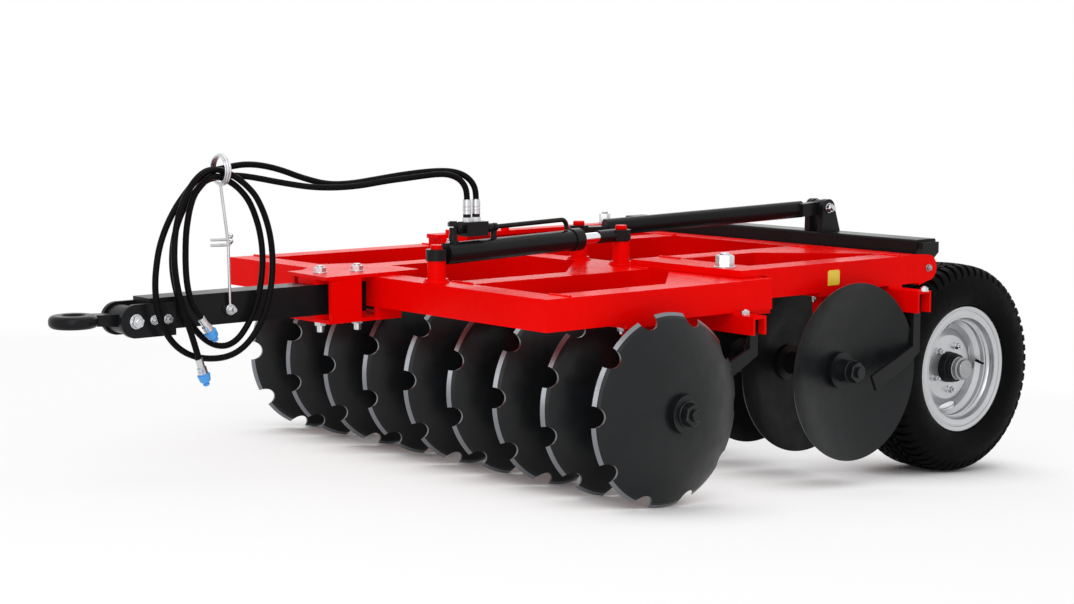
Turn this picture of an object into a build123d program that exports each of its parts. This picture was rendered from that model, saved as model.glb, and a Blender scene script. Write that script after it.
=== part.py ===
"""Trailed offset disc harrow: two hinged tube frames, two disc gangs and a wheeled rockshaft.

Working frame, millimetres: X runs rearward, Y to the machine's right, Z up. Its origin is the
front left corner of the front frame's top face. The whole machine is moved once, at the end,
to its parked stance on the front discs and the wheels.
"""
import math
import os

from build123d import *

# Square tube frames
TUBE = 100.0
FRAME_WIDTH = 1785.0
FRONT_LENGTH = 965.0
REAR_TOP_Z = 25.0
REAR_LENGTH = 758.0
GUSSET_LEG = 285.0
GUSSET_DEPTH = 50.0

# Vertical hinge between the frames
HINGE_FROM_END = 40.0
HINGE_X = FRONT_LENGTH - HINGE_FROM_END
HINGE_Y = 180.0
HINGE_PLATE = 24.0
HINGE_PLATE_GAP = 1.0
HINGE_FRONT_MARGIN = 40.0
HINGE_REAR_MARGIN = 80.0
HINGE_WEB = 20.0
HINGE_PIN_RADIUS = 20.0
HINGE_NUT_RADIUS = 26.0
HINGE_NUT_HEIGHT = 35.0
RUNNING_FIT = 0.05
SEAT_GAP = 0.3
REAR_START_X = HINGE_X + HINGE_REAR_MARGIN + HINGE_WEB
REAR_END_X = REAR_START_X + REAR_LENGTH
REAR_BOTTOM_Z = REAR_TOP_Z - TUBE

# Disc gangs: each disc is dished, its rim plane gives its place
DISC_COUNT = 9
FRONT_RIM_Y = -73.0
REAR_RIM_Y = -15.0
LAST_RIM_OVERHANG = 50.0
DISC_PITCH = (FRAME_WIDTH + LAST_RIM_OVERHANG - FRONT_RIM_Y) / (DISC_COUNT - 1)
DISC_RADIUS = 305.0
DISC_THICKNESS = 6.0
DISC_DEPTH = 78.0
DISC_FLAT_RADIUS = 62.0
DISC_BEVEL = 18.0
DISC_EDGE = 1.5
NOTCH_COUNT = 10
NOTCH_RADIUS = 34.0
DISC_TURNS = (16.0, 34.0)
FRONT_GANG_X = 418.0
FRONT_GANG_Z = -368.0
REAR_GANG_FROM_START = 337.0
REAR_GANG_X = REAR_START_X + REAR_GANG_FROM_START
REAR_GANG_Z = -346.0
GANG_SHAFT_RADIUS = 19.0
SPOOL_RADIUS = 40.0
SPOOL_FLANGE = 10.0
END_WASHER = 21.0
END_NUT = 21.0
END_NUT_RADIUS = 31.0
JOURNAL_RADIUS = 28.0
BEARING_BACK = 125.0
BEARING_WIDTH = 56.0
BEARING_RADIUS = 60.0
BEARING_SIDE_GAP = 2.0
HANGER_THICKNESS = 40.0
HANGER_TOP = 130.0
HANGER_FOOT = 86.0
HANGER_FLANGE = 14.0
HANGER_FLANGE_LENGTH = 190.0
HANGER_FLANGE_SIDE = 30.0
HANGER_GAPS = (0, 2, 5, 7)

# Left faces of the frames' beams, each set back from the bearing under it
FRONT_INNER_LEFT_SETBACK = 30.5
FRONT_INNER_RIGHT_SETBACK = 76.0
REAR_LEFT_SETBACK = 44.0
REAR_INNER_LEFT_SETBACK = 87.0
REAR_RIGHT_SETBACK = 85.5
FRONT_INNER_LEFT_Y = FRONT_RIM_Y + 3 * DISC_PITCH - BEARING_BACK - FRONT_INNER_LEFT_SETBACK
FRONT_INNER_RIGHT_Y = FRONT_RIM_Y + 6 * DISC_PITCH - BEARING_BACK - FRONT_INNER_RIGHT_SETBACK
REAR_LEFT_Y = REAR_RIM_Y + BEARING_BACK - REAR_LEFT_SETBACK
REAR_INNER_LEFT_Y = REAR_RIM_Y + 2 * DISC_PITCH + BEARING_BACK - REAR_INNER_LEFT_SETBACK
REAR_INNER_RIGHT_Y = REAR_RIM_Y + 5 * DISC_PITCH + BEARING_BACK - REAR_RIGHT_SETBACK
REAR_RIGHT_Y = REAR_RIM_Y + 7 * DISC_PITCH + BEARING_BACK - REAR_RIGHT_SETBACK

# Scrapers
SCRAPER_THICKNESS = 12.0
SCRAPER_GAP = 7.0
SCRAPER_WIDTH = 36.0
BLADE_WIDTH = 52.0
BLADE_REACH = 12.0
BLADE_SLOPE = 4.0
SCRAPER_WAIST = 130.0
FRONT_BAR_FROM_END = 150.0
FRONT_BAR_X = FRONT_LENGTH - FRONT_BAR_FROM_END
FRONT_SCRAPER_DROP = 70.0
FRONT_SCRAPER_ELBOW = (160.0, 68.0)
FRONT_BAR_WIDTH = 60.0
FRONT_BAR_HEIGHT = 60.0
FRONT_BAR_PACKER = 5.0
REAR_BAR_FROM_END = 128.0
REAR_BAR_X = REAR_END_X - REAR_BAR_FROM_END
REAR_SCRAPER_DROP = 140.0
REAR_SCRAPER_ELBOW = (165.0, 62.0)
REAR_BAR_WIDTH = 70.0
REAR_BAR_HEIGHT = 75.0
REAR_BAR_PACKER = 10.0
BAR_OVERHANG = 25.0
BAR_WALL = 9.0

# Drawbar, its bracket and the tow eye
DRAWBAR_FROM_BEAM = 177.0
DRAWBAR_Y = FRONT_INNER_RIGHT_Y - DRAWBAR_FROM_BEAM
DRAWBAR_TOP_Z = -18.0
DRAWBAR_LENGTH = 812.0
BRACKET_FRONT_X = -190.0
BRACKET_LEFT_REACH = 110.0
BRACKET_LEFT_Y = DRAWBAR_Y - BRACKET_LEFT_REACH
BRACKET_CHEEK = 15.0
BRACKET_CHEEK_LENGTH = 120.0
BRACKET_INNER_WIDTH = 200.0
BRACKET_PLATE = 12.0
BRACKET_DEPTH = 131.0
BRACKET_PAD_REACH = 30.0
BRACKET_PAD_STEPS = (17.0, 158.0)
BRACKET_OUTLINE = (
    (-205.0, -118.0), (190.0, -87.0), (196.0, 50.0), (141.0, 225.0), (35.0, 265.0), (-60.0, 200.0),
    (-128.0, 138.0), (-190.0, 132.0),
)
HITCH_FROM_TUBE = 54.0
HITCH_X = -DRAWBAR_LENGTH - HITCH_FROM_TUBE
HITCH_Z = -84.0
HITCH_PIN_RADIUS = 14.0
HITCH_CHEEK = 16.0
HITCH_CHEEK_RADIUS = 52.0
HITCH_CHEEK_LENGTH = 138.0
KNUCKLE_RADIUS = 44.0
KNUCKLE_SIDE_GAP = 3.0
RING_FROM_HITCH = 177.0
RING_X = HITCH_X - RING_FROM_HITCH
RING_Z = -76.0
RING_HOLE_RADIUS = 33.0
RING_RADIUS = 75.0
RING_HEIGHT = 40.0
RING_OUTER_ROUND = 17.0
RING_INNER_ROUND = 6.0

# Pin posts of the cylinder and the strut
POST_RADIUS = 30.0
POST_COLLAR = 8.0
POST_COLLAR_HEIGHT = 12.0
PIN_RADIUS = 16.0
PIN_HEAD_RADIUS = 19.0
PIN_HEAD_HEIGHT = 14.0
EYE_RADIUS = 34.0
EYE_HEIGHT = 36.0
BARREL_POST_X = TUBE / 2
BARREL_POST_TOP = 70.0
POST_FROM_END = 60.0
ROD_POST_X = FRONT_LENGTH - POST_FROM_END
ROD_POST_FROM_HINGE = 72.0
ROD_POST_Y = REAR_INNER_LEFT_Y + TUBE + ROD_POST_FROM_HINGE
BARREL_POST_OFFSET = 64.0
BARREL_POST_Y = ROD_POST_Y - BARREL_POST_OFFSET
ROD_POST_TOP = 81.5
ROD_EYE_LOW = 86.3
ROD_EYE_WASHER = 3.0
ROD_EYE_WASHER_RADIUS = 28.0
STRUT_POST_X = FRONT_LENGTH - POST_FROM_END
POST_SPACING = 225.0
STRUT_POST_Y = ROD_POST_Y + POST_SPACING
STRUT_POST_TOP = 88.0

# Hydraulic cylinder
BARREL_RADIUS = 35.0
BARREL_START = 36.0
BARREL_SHORT_OF_POST = 207.0
BARREL_END = ROD_POST_X - BARREL_POST_X - BARREL_SHORT_OF_POST
GLAND_LENGTH = 40.0
GLAND_RADIUS = 39.0
ROD_RADIUS = 18.0
ROD_START = 230.0
BORE_START = 135.0
ROD_SOCKET_RADIUS = 22.5
ROD_SOCKET_LENGTH = 78.0
ROD_SOCKET_GAP = 8.0
BLOCK_LENGTH = 87.0
BLOCK_HEIGHT = 47.0
BLOCK_WIDTH = 50.0
BLOCK_X = 210.0
BLOCK_Z = 164.0
PIPE_RADIUS = 8.0
PIPE_PORT_X = 122.0
PIPE_DROP_BACK = 62.0
PIPE_DROP_X = BARREL_POST_X + BARREL_END - PIPE_DROP_BACK
PIPE_CLIP_X = 300.0
FERRULE_RADIUS = 13.0
FERRULE_TOP_Z = 259.0
FERRULE_A_X = 184.0
FERRULE_B_X = 221.0
FERRULE_OFFSET = 12.0
FERRULE_Y = BARREL_POST_Y + FERRULE_OFFSET

# Rockshaft, its ears, the wheel arms and the wheels
PIVOT_FROM_FRAME = 47.0
PIVOT_X = REAR_END_X + PIVOT_FROM_FRAME
PIVOT_Z = -24.0
PIVOT_PIN_RADIUS = 18.0
EAR_THICKNESS = 25.0
EAR_SIDE_GAP = 3.0
EAR_REACH = 46.0
EAR_LOW_Z = -83.0
LUG_RADIUS = 28.0
SHAFT_FROM_FRAME = 45.0
SHAFT_FRONT_X = REAR_END_X + SHAFT_FROM_FRAME
SHAFT_WIDTH = 104.0
SHAFT_LOW_Z = 4.0
SHAFT_HEIGHT = 68.0
SHAFT_ROUND = 8.0
AXLE_FROM_SHAFT = 249.0
AXLE_X = SHAFT_FRONT_X + AXLE_FROM_SHAFT
AXLE_Z = -415.0
WHEEL_LEFT_Y = 206.0
WHEEL_RIGHT_Y = FRAME_WIDTH - WHEEL_LEFT_Y
WHEEL_RADIUS = 384.0
TYRE_WIDTH = 264.0
BEAD_RADIUS = 196.0
BEAD_WIDTH = 190.0
RIM_FLANGE_RADIUS = 223.0
RIM_SHEET = 7.0
RIM_STEP_RADIUS = 176.0
RIM_WELL_RADIUS = 160.0
RIM_DISC_OFFSET = 30.0
RIM_DISC_RISE = 8.0
RIM_DISC_FLAT = 118.0
SLOT_COUNT = 4
SLOT_CENTRE = 240.0
SLOT_RADIUS = 104.0
SLOT_TURN = 8.0
HUB_RADIUS = 46.0
HUB_FLANGE_RADIUS = 98.0
HUB_FLANGE = 12.0
HUB_OUTER = 100.0
HUB_INNER = 66.0
CAP_RADIUS = 30.0
CAP_HEIGHT = 18.0
STUB_RADIUS = 25.0
ARM_THICKNESS = 50.0
ARM_SIDE_GAP = 14.0
ARM_WIDTH = 92.0
ARM_BOSS_RADIUS = 48.0

# Strut between the post and the rockshaft
STRUT_RADIUS = 31.0
STRUT_PIN_BACK = 37.0
STRUT_PIN_FROM_BEAM = 120.0
STRUT_PIN_X = SHAFT_FRONT_X + STRUT_PIN_BACK
STRUT_PIN_Y = REAR_INNER_LEFT_Y + STRUT_PIN_FROM_BEAM
STRUT_PIN_Z = 160.0
STRUT_PIN_RADIUS = 15.0
STRUT_PIN_END = 8.0
STRUT_EYE_RADIUS = 30.0
STRUT_EYE_WIDTH = 34.0
STRUT_EAR = 25.0
STRUT_EAR_GAP = 3.0
STRUT_BAR = 24.0
STRUT_FLAT_LENGTH = 100.0
STRUT_TAIL = 80.0
STRUT_TUBE_START_X = STRUT_POST_X + STRUT_FLAT_LENGTH
STRUT_TUBE_END_X = STRUT_PIN_X - STRUT_TAIL

# Adjusting bar across the open side of the frames
BAR_INSET = 116.0
BAR_FRONT_LAP = 135.0
BAR_REAR_MARGIN = 15.0
BAR_Y = FRAME_WIDTH - BAR_INSET
BAR_FRONT_X = FRONT_LENGTH - BAR_FRONT_LAP
BAR_REAR_X = REAR_END_X - BAR_REAR_MARGIN
BAR_WIDTH = 70.0
BAR_HEIGHT = 16.0
BAR_RIDE = 5.0
BAR_HEAD_RADIUS = 17.0
BAR_HEAD_HEIGHT = 14.0
BAR_HEAD_X = (FRONT_LENGTH - 50.0, REAR_START_X - 11.0, REAR_START_X + 164.0, REAR_END_X - 39.0)

# Hose holder, hoses and couplings
HOSE_RADIUS = 10.0
HOLDER_WIRE = 5.0
HOLDER_STANDOFF = 12.0
HOLDER_Y = DRAWBAR_Y - TUBE / 2 - HOLDER_STANDOFF
HOLDER_RING_X = -559.0
HOLDER_RING_Z = 369.0
HOLDER_RING_RADIUS = 46.0
HOLDER_FOOT_X = -531.0
HOLDER_FOOT_Z = -72.0
HOLDER_PRONG = 62.0
COUPLING_RADIUS = 14.0
COUPLING_LENGTH = 48.0
CAP_COVER_RADIUS = 17.0
CAP_COVER_LENGTH = 34.0
BEND_SHARE = 0.45

# Routes of the two hoses, from the ferrule to the coupling, as chosen points (X, Y, Z)
HOSE_A_ROUTE = [
    (FERRULE_A_X, FERRULE_Y, FERRULE_TOP_Z),
    (184, 620, 286), (173, 624, 313), (153, 632, 332), (127, 642, 342), (96, 654, 344), (56, 670, 340),
    (4, 693, 333), (-63, 727, 324), (-150, 778, 306), (-258, 832, 304), (-354, 884, 322),
    (-432, 916, 340), (-490, 929, 349), (-535, 931, 348), (-575, 927, 345), (-612, 922, 336),
    (-646, 919, 307), (-684, 916, 268), (-710, 914, 224), (-728, 912, 178), (-738, 911, 131),
    (-741, 910, 83), (-737, 909, 37), (-727, 908, -8), (-711, 908, -52), (-688, 909, -93),
    (-659, 910, -131), (-626, 911, -162), (-589, 911, -182), (-550, 910, -186), (-513, 909, -170),
    (-483, 908, -138), (-456, 907, -95), (-437, 906, -48), (-424, 905, 5), (-417, 905, 59),
    (-417, 905, 113), (-425, 905, 168), (-441, 905, 221), (-465, 905, 272), (-500, 907, 311),
    (-538, 908, 336), (-576, 906, 350), (-614, 890, 350), (-649, 879, 328), (-675, 878, 301),
    (-693, 874, 265), (-705, 871, 224), (-714, 868, 180), (-718, 866, 133), (-720, 864, 85),
    (-719, 862, 39), (-713, 860, -5), (-702, 858, -47), (-687, 857, -87),
]
HOSE_B_ROUTE = [
    (FERRULE_B_X, FERRULE_Y, FERRULE_TOP_Z),
    (221, 620, 287), (212, 627, 314), (195, 640, 335), (172, 656, 347), (145, 673, 352),
    (110, 692, 352), (62, 715, 348), (0, 742, 340), (-72, 776, 327), (-138, 812, 315), (-206, 848, 313),
    (-276, 886, 335), (-341, 908, 362), (-402, 922, 378), (-458, 930, 383), (-508, 932, 378),
    (-550, 931, 371), (-589, 925, 366), (-627, 909, 355), (-661, 903, 334), (-695, 896, 304),
    (-729, 890, 269),
    (-760, 884, 228), (-785, 880, 184), (-804, 877, 137), (-815, 875, 87), (-822, 873, 37),
    (-821, 872, -13), (-813, 872, -62), (-796, 873, -106), (-771, 875, -146), (-738, 878, -177),
    (-698, 881, -200), (-654, 883, -213), (-609, 884, -218), (-565, 884, -216), (-522, 884, -202),
    (-485, 883, -175), (-454, 882, -138), (-429, 881, -94), (-411, 880, -44), (-400, 880, 10),
    (-395, 880, 64), (-397, 880, 118), (-406, 880, 173), (-423, 880, 226), (-446, 881, 273),
    (-464, 882, 298), (-499, 891, 334), (-536, 902, 358), (-574, 903, 371), (-623, 885, 372),
    (-662, 870, 357), (-694, 859, 333), (-719, 853, 301), (-739, 850, 265), (-754, 848, 226),
    (-764, 847, 183), (-769, 846, 137), (-770, 845, 91), (-765, 845, 44), (-756, 845, -2),
    (-743, 846, -46), (-728, 847, -89), (-713, 848, -131), (-700, 849, -170), (-688, 850, -207),
]

MID_Y = (WHEEL_LEFT_Y + WHEEL_RIGHT_Y) / 2


def block(x, y, z):
    """A box between the low and high values given for each axis."""
    middle = Pos((x[0] + x[1]) / 2, (y[0] + y[1]) / 2, (z[0] + z[1]) / 2)
    return middle * Box(x[1] - x[0], y[1] - y[0], z[1] - z[0])


def plate_xz(points, y_low, y_high):
    """A plate with an outline in X and Z, between two Y values."""
    outline = Polyline([(x, y_low, z) for x, z in points], close=True)
    return extrude(make_face(outline), amount=y_high - y_low, dir=(0, 1, 0))


def plate_xy(points, z_low, z_high):
    """A plate with an outline in X and Y, between two Z values."""
    outline = Polyline([(x, y, z_low) for x, y in points], close=True)
    return extrude(make_face(outline), amount=z_high - z_low, dir=(0, 0, 1))


def rod(start, end, radius):
    """A round bar between two points."""
    start = Vector(*start)
    along = Vector(*end) - start
    return Solid.make_cylinder(radius, along.length, Plane(origin=start, z_dir=along))


def cross_pin(x, z, radius, y_low, y_high):
    """A round bar along Y."""
    return rod((x, y_low, z), (x, y_high, z), radius)


def upright(x, y, radius, z_low, z_high):
    """A round bar along Z."""
    return rod((x, y, z_low), (x, y, z_high), radius)


def to_right_side(piece):
    """The piece's twin on the other side of the wheels' middle plane."""
    return mirror(piece, about=Plane(origin=(0, MID_Y, 0), z_dir=(0, 1, 0)))


# ---------------------------------------------------------------- frames

def long_tube(x, y_low, top_z):
    """A frame tube along X, with its left face at y_low."""
    return block(x, (y_low, y_low + TUBE), (top_z - TUBE, top_z))


def front_frame():
    """The six tubes and the corner gussets of the front frame."""
    inner_x = (TUBE, FRONT_LENGTH - TUBE)
    width = (0, FRAME_WIDTH)
    cross = block((FRONT_LENGTH - TUBE, FRONT_LENGTH), width, (-TUBE, 0))
    cross -= upright(HINGE_X, HINGE_Y, HINGE_PIN_RADIUS + RUNNING_FIT, -TUBE, 0)
    corner_x = FRONT_LENGTH - TUBE
    gussets = []
    for side_y in (TUBE, FRONT_INNER_LEFT_Y + TUBE):
        outline = [(corner_x - GUSSET_LEG, side_y), (corner_x, side_y), (corner_x, side_y + GUSSET_LEG)]
        gussets.append(plate_xy(outline, -GUSSET_DEPTH, 0))
    return {
        "front_beam": block((0, TUBE), width, (-TUBE, 0)),
        "front_cross_beam": cross,
        "front_left_beam": long_tube(inner_x, 0, 0),
        "front_inner_left_beam": long_tube(inner_x, FRONT_INNER_LEFT_Y, 0),
        "front_inner_right_beam": long_tube(inner_x, FRONT_INNER_RIGHT_Y, 0),
        "front_right_beam": long_tube(inner_x, FRAME_WIDTH - TUBE, 0),
        "front_gussets": gussets,
    }


def rear_frame():
    """The rear frame's tubes, open at the front, with one gusset at the inner left beam."""
    inner_x = (REAR_START_X, REAR_END_X - TUBE)
    width = (REAR_LEFT_Y, REAR_RIGHT_Y + TUBE)
    corner_x = REAR_END_X - TUBE
    side_y = REAR_INNER_LEFT_Y
    gusset = plate_xy(
        [(corner_x - GUSSET_LEG, side_y), (corner_x, side_y), (corner_x, side_y - GUSSET_LEG)],
        REAR_TOP_Z - GUSSET_DEPTH, REAR_TOP_Z)
    return {
        "rear_cross_beam": block((corner_x, REAR_END_X), width, (REAR_BOTTOM_Z, REAR_TOP_Z)),
        "rear_left_beam": long_tube(inner_x, REAR_LEFT_Y, REAR_TOP_Z),
        "rear_inner_left_beam": long_tube(inner_x, REAR_INNER_LEFT_Y, REAR_TOP_Z),
        "rear_inner_right_beam": long_tube(inner_x, REAR_INNER_RIGHT_Y, REAR_TOP_Z),
        "rear_right_beam": long_tube(inner_x, REAR_RIGHT_Y, REAR_TOP_Z),
        "rear_gusset": gusset,
    }


def hinge_plates():
    """Two plates and a web that clasp the front cross beam, with the hinge pin and its nut."""
    front_x = HINGE_X - HINGE_FRONT_MARGIN
    web_x = HINGE_X + HINGE_REAR_MARGIN
    y = (REAR_LEFT_Y, REAR_INNER_LEFT_Y + TUBE)
    top_low = HINGE_PLATE_GAP
    bottom_high = -TUBE - HINGE_PLATE_GAP
    body = block((front_x, web_x), y, (top_low, REAR_TOP_Z))
    body += block((front_x, web_x), y, (bottom_high - HINGE_PLATE, bottom_high))
    body += block((web_x, web_x + HINGE_WEB), y, (bottom_high - HINGE_PLATE, REAR_TOP_Z))
    body += upright(HINGE_X, HINGE_Y, HINGE_PIN_RADIUS, bottom_high - HINGE_PLATE, REAR_TOP_Z)
    body += upright(HINGE_X, HINGE_Y, HINGE_NUT_RADIUS, REAR_TOP_Z, REAR_TOP_Z + HINGE_NUT_HEIGHT)
    return body


# ---------------------------------------------------------------- gangs

def disc(notched):
    """A dished disc about the Y axis, rim plane at Y 0 and bulging towards -Y."""
    sweep_radius = ((DISC_RADIUS - DISC_FLAT_RADIUS) ** 2 + DISC_DEPTH ** 2) / (2 * DISC_DEPTH)
    centre_y = sweep_radius - DISC_DEPTH

    def face_point(radius, thickness):
        run = radius - DISC_FLAT_RADIUS
        return (radius, centre_y - math.sqrt((sweep_radius + thickness) ** 2 - run ** 2))

    bore = GANG_SHAFT_RADIUS + SEAT_GAP
    middle = (DISC_FLAT_RADIUS + DISC_RADIUS) / 2
    bevel_radius = DISC_RADIUS - DISC_BEVEL
    back = -DISC_DEPTH - DISC_THICKNESS
    inside = ThreePointArc((DISC_FLAT_RADIUS, -DISC_DEPTH), face_point(middle, 0), (DISC_RADIUS, 0))
    outside = ThreePointArc(
        face_point(bevel_radius, DISC_THICKNESS), face_point(middle, DISC_THICKNESS), (DISC_FLAT_RADIUS, back))
    section = [
        Line((bore, -DISC_DEPTH), (DISC_FLAT_RADIUS, -DISC_DEPTH)),
        inside,
        Line((DISC_RADIUS, 0), (DISC_RADIUS, -DISC_EDGE)),
        Line((DISC_RADIUS, -DISC_EDGE), face_point(bevel_radius, DISC_THICKNESS)),
        outside,
        Line((DISC_FLAT_RADIUS, back), (bore, back)),
        Line((bore, back), (bore, -DISC_DEPTH)),
    ]
    body = revolve(make_face(section), Axis.Y)
    if notched:
        for index in range(NOTCH_COUNT):
            angle = 2 * math.pi * (index + 0.5) / NOTCH_COUNT
            x = DISC_RADIUS * math.cos(angle)
            z = DISC_RADIUS * math.sin(angle)
            body -= cross_pin(x, z, NOTCH_RADIUS, -DISC_DEPTH, DISC_DEPTH)
    return body


def gang_core():
    """The gang's axle and spools about the Y axis, with the first rim plane at Y 0."""
    front = -DISC_DEPTH - DISC_THICKNESS
    points = [(0, front - END_WASHER - END_NUT), (END_NUT_RADIUS, front - END_WASHER - END_NUT)]
    points += [(END_NUT_RADIUS, front - END_WASHER), (DISC_FLAT_RADIUS, front - END_WASHER)]
    points += [(DISC_FLAT_RADIUS, front), (GANG_SHAFT_RADIUS, front)]
    for gap in range(DISC_COUNT - 1):
        start = gap * DISC_PITCH - DISC_DEPTH
        end = (gap + 1) * DISC_PITCH - DISC_DEPTH - DISC_THICKNESS
        points += [(GANG_SHAFT_RADIUS, start), (DISC_FLAT_RADIUS, start)]
        points += [(DISC_FLAT_RADIUS, start + SPOOL_FLANGE), (SPOOL_RADIUS, start + 2 * SPOOL_FLANGE)]
        if gap in HANGER_GAPS:
            half = BEARING_WIDTH / 2 + BEARING_SIDE_GAP
            bearing = (gap + 1) * DISC_PITCH - BEARING_BACK
            points += [(SPOOL_RADIUS, bearing - half), (JOURNAL_RADIUS, bearing - half)]
            points += [(JOURNAL_RADIUS, bearing + half), (DISC_FLAT_RADIUS, bearing + half)]
        else:
            points += [(SPOOL_RADIUS, end - 2 * SPOOL_FLANGE), (DISC_FLAT_RADIUS, end - SPOOL_FLANGE)]
        points += [(DISC_FLAT_RADIUS, end), (GANG_SHAFT_RADIUS, end)]
    start = (DISC_COUNT - 1) * DISC_PITCH - DISC_DEPTH
    points += [(GANG_SHAFT_RADIUS, start), (DISC_FLAT_RADIUS, start), (DISC_FLAT_RADIUS, start + END_WASHER)]
    points += [(SPOOL_RADIUS, start + END_WASHER), (END_NUT_RADIUS, start + 3 * END_WASHER)]
    points += [(GANG_SHAFT_RADIUS, start + 3 * END_WASHER), (GANG_SHAFT_RADIUS, start + 5 * END_WASHER)]
    points += [(0, start + 5 * END_WASHER)]
    return revolve(make_face(Polyline(points, close=True)), Axis.Y)


def gang_rows(x, z, rim_y, notched, turned):
    """Discs and core of one gang; a turned gang bulges towards +Y."""
    one = disc(notched)
    core = gang_core()
    if turned:
        one = Rot(0, 0, 180) * one
        core = Pos(0, (DISC_COUNT - 1) * DISC_PITCH, 0) * Rot(0, 0, 180) * core
    discs = [Pos(x, rim_y + index * DISC_PITCH, z) * Rot(0, -DISC_TURNS[index % 2], 0) * one
             for index in range(DISC_COUNT)]
    return discs, Pos(x, rim_y, z) * core


def bearing_places(rim_y, turned):
    """Y of the four bearings of a gang, from left to right."""
    if turned:
        last = DISC_COUNT - 2
        return [rim_y + (last - gap) * DISC_PITCH + BEARING_BACK for gap in reversed(HANGER_GAPS)]
    return [rim_y + (gap + 1) * DISC_PITCH - BEARING_BACK for gap in HANGER_GAPS]


def hanger(x, z, y, beam_y, beam_bottom):
    """A tapered leg with its top flange under a beam and the bearing housing at its foot."""
    y_low = y - HANGER_THICKNESS / 2
    y_high = y + HANGER_THICKNESS / 2
    flange_bottom = beam_bottom - HANGER_FLANGE
    leg = plate_xz(
        [(x - HANGER_TOP / 2, flange_bottom), (x + HANGER_TOP / 2, flange_bottom),
         (x + HANGER_FOOT / 2, z), (x - HANGER_FOOT / 2, z)], y_low, y_high)
    side = HANGER_FLANGE_SIDE
    flange_y = (max(beam_y, y_low - side), max(min(beam_y + TUBE, y_high + side), y_high))
    flange_x = (x - HANGER_FLANGE_LENGTH / 2, x + HANGER_FLANGE_LENGTH / 2)
    flange = block(flange_x, flange_y, (flange_bottom, beam_bottom))
    half = BEARING_WIDTH / 2
    housing = cross_pin(x, z, BEARING_RADIUS, y - half, y + half)
    bore = cross_pin(x, z, JOURNAL_RADIUS + RUNNING_FIT, y - half, y + half)
    return leg + flange + housing - bore


def hangers(prefix, x, z, places, beams, beam_bottom):
    """The four hangers of a gang as pieces of their own."""
    names = ("left", "inner_left", "inner_right", "right")
    return {
        f"{prefix}_hanger_{name}": hanger(x, z, y, beam_y, beam_bottom)
        for name, y, beam_y in zip(names, places, beams)
    }


# ---------------------------------------------------------------- scrapers

def scraper_bar(x, width, height, packer, beam_bottom, y, beams):
    """A channel across a frame, open below, with a packer under each beam."""
    top = beam_bottom - packer
    span = (x - width / 2, x + width / 2)
    body = block(span, y, (top - height, top))
    body -= block((span[0] + BAR_WALL, span[1] - BAR_WALL), y, (top - height, top - BAR_WALL))
    for beam_y in beams:
        body += block(span, (beam_y, beam_y + TUBE), (top, beam_bottom))
    return body


def scraper(points, y_low):
    """One scraper: a bent arm that widens to its blade."""
    return plate_xz(points, y_low, y_low + SCRAPER_THICKNESS)


def front_scraper_outline():
    """The arm drops out of the channel and runs forward into the dish of the disc."""
    top = -TUBE - FRONT_BAR_PACKER - BAR_WALL
    low = -TUBE - FRONT_BAR_PACKER - FRONT_BAR_HEIGHT
    x = FRONT_BAR_X
    half = SCRAPER_WIDTH / 2
    tip_x = FRONT_GANG_X + DISC_RADIUS / 2
    tip_z = FRONT_GANG_Z + 12
    elbow_x, elbow_z = FRONT_SCRAPER_ELBOW
    return [(x + half, top), (x + half, low - FRONT_SCRAPER_DROP), (tip_x + elbow_x, tip_z + elbow_z),
            (tip_x + BLADE_REACH, tip_z - BLADE_SLOPE),
            (tip_x - BLADE_REACH, tip_z - BLADE_SLOPE + BLADE_WIDTH),
            (tip_x + SCRAPER_WAIST, tip_z + elbow_z + 38), (x - half, low - FRONT_SCRAPER_DROP + 25),
            (x - half, top)]


def rear_scraper_outline():
    """The arm drops beside the tyre and runs forward into the dish of the disc."""
    top = REAR_BOTTOM_Z - REAR_BAR_PACKER - BAR_WALL
    low = REAR_BOTTOM_Z - REAR_BAR_PACKER - REAR_BAR_HEIGHT
    x = REAR_BAR_X
    half = SCRAPER_WIDTH / 2
    tip_x = REAR_GANG_X + DISC_RADIUS / 4
    tip_z = REAR_GANG_Z - 66
    elbow_x, elbow_z = REAR_SCRAPER_ELBOW
    return [(x + half, top), (x + half, low - REAR_SCRAPER_DROP), (tip_x + elbow_x, tip_z + elbow_z),
            (tip_x + BLADE_REACH, tip_z - BLADE_SLOPE),
            (tip_x - BLADE_REACH, tip_z - BLADE_SLOPE + BLADE_WIDTH),
            (tip_x + SCRAPER_WAIST, tip_z + elbow_z + 42), (x - half, low - REAR_SCRAPER_DROP + 22),
            (x - half, top)]


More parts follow.
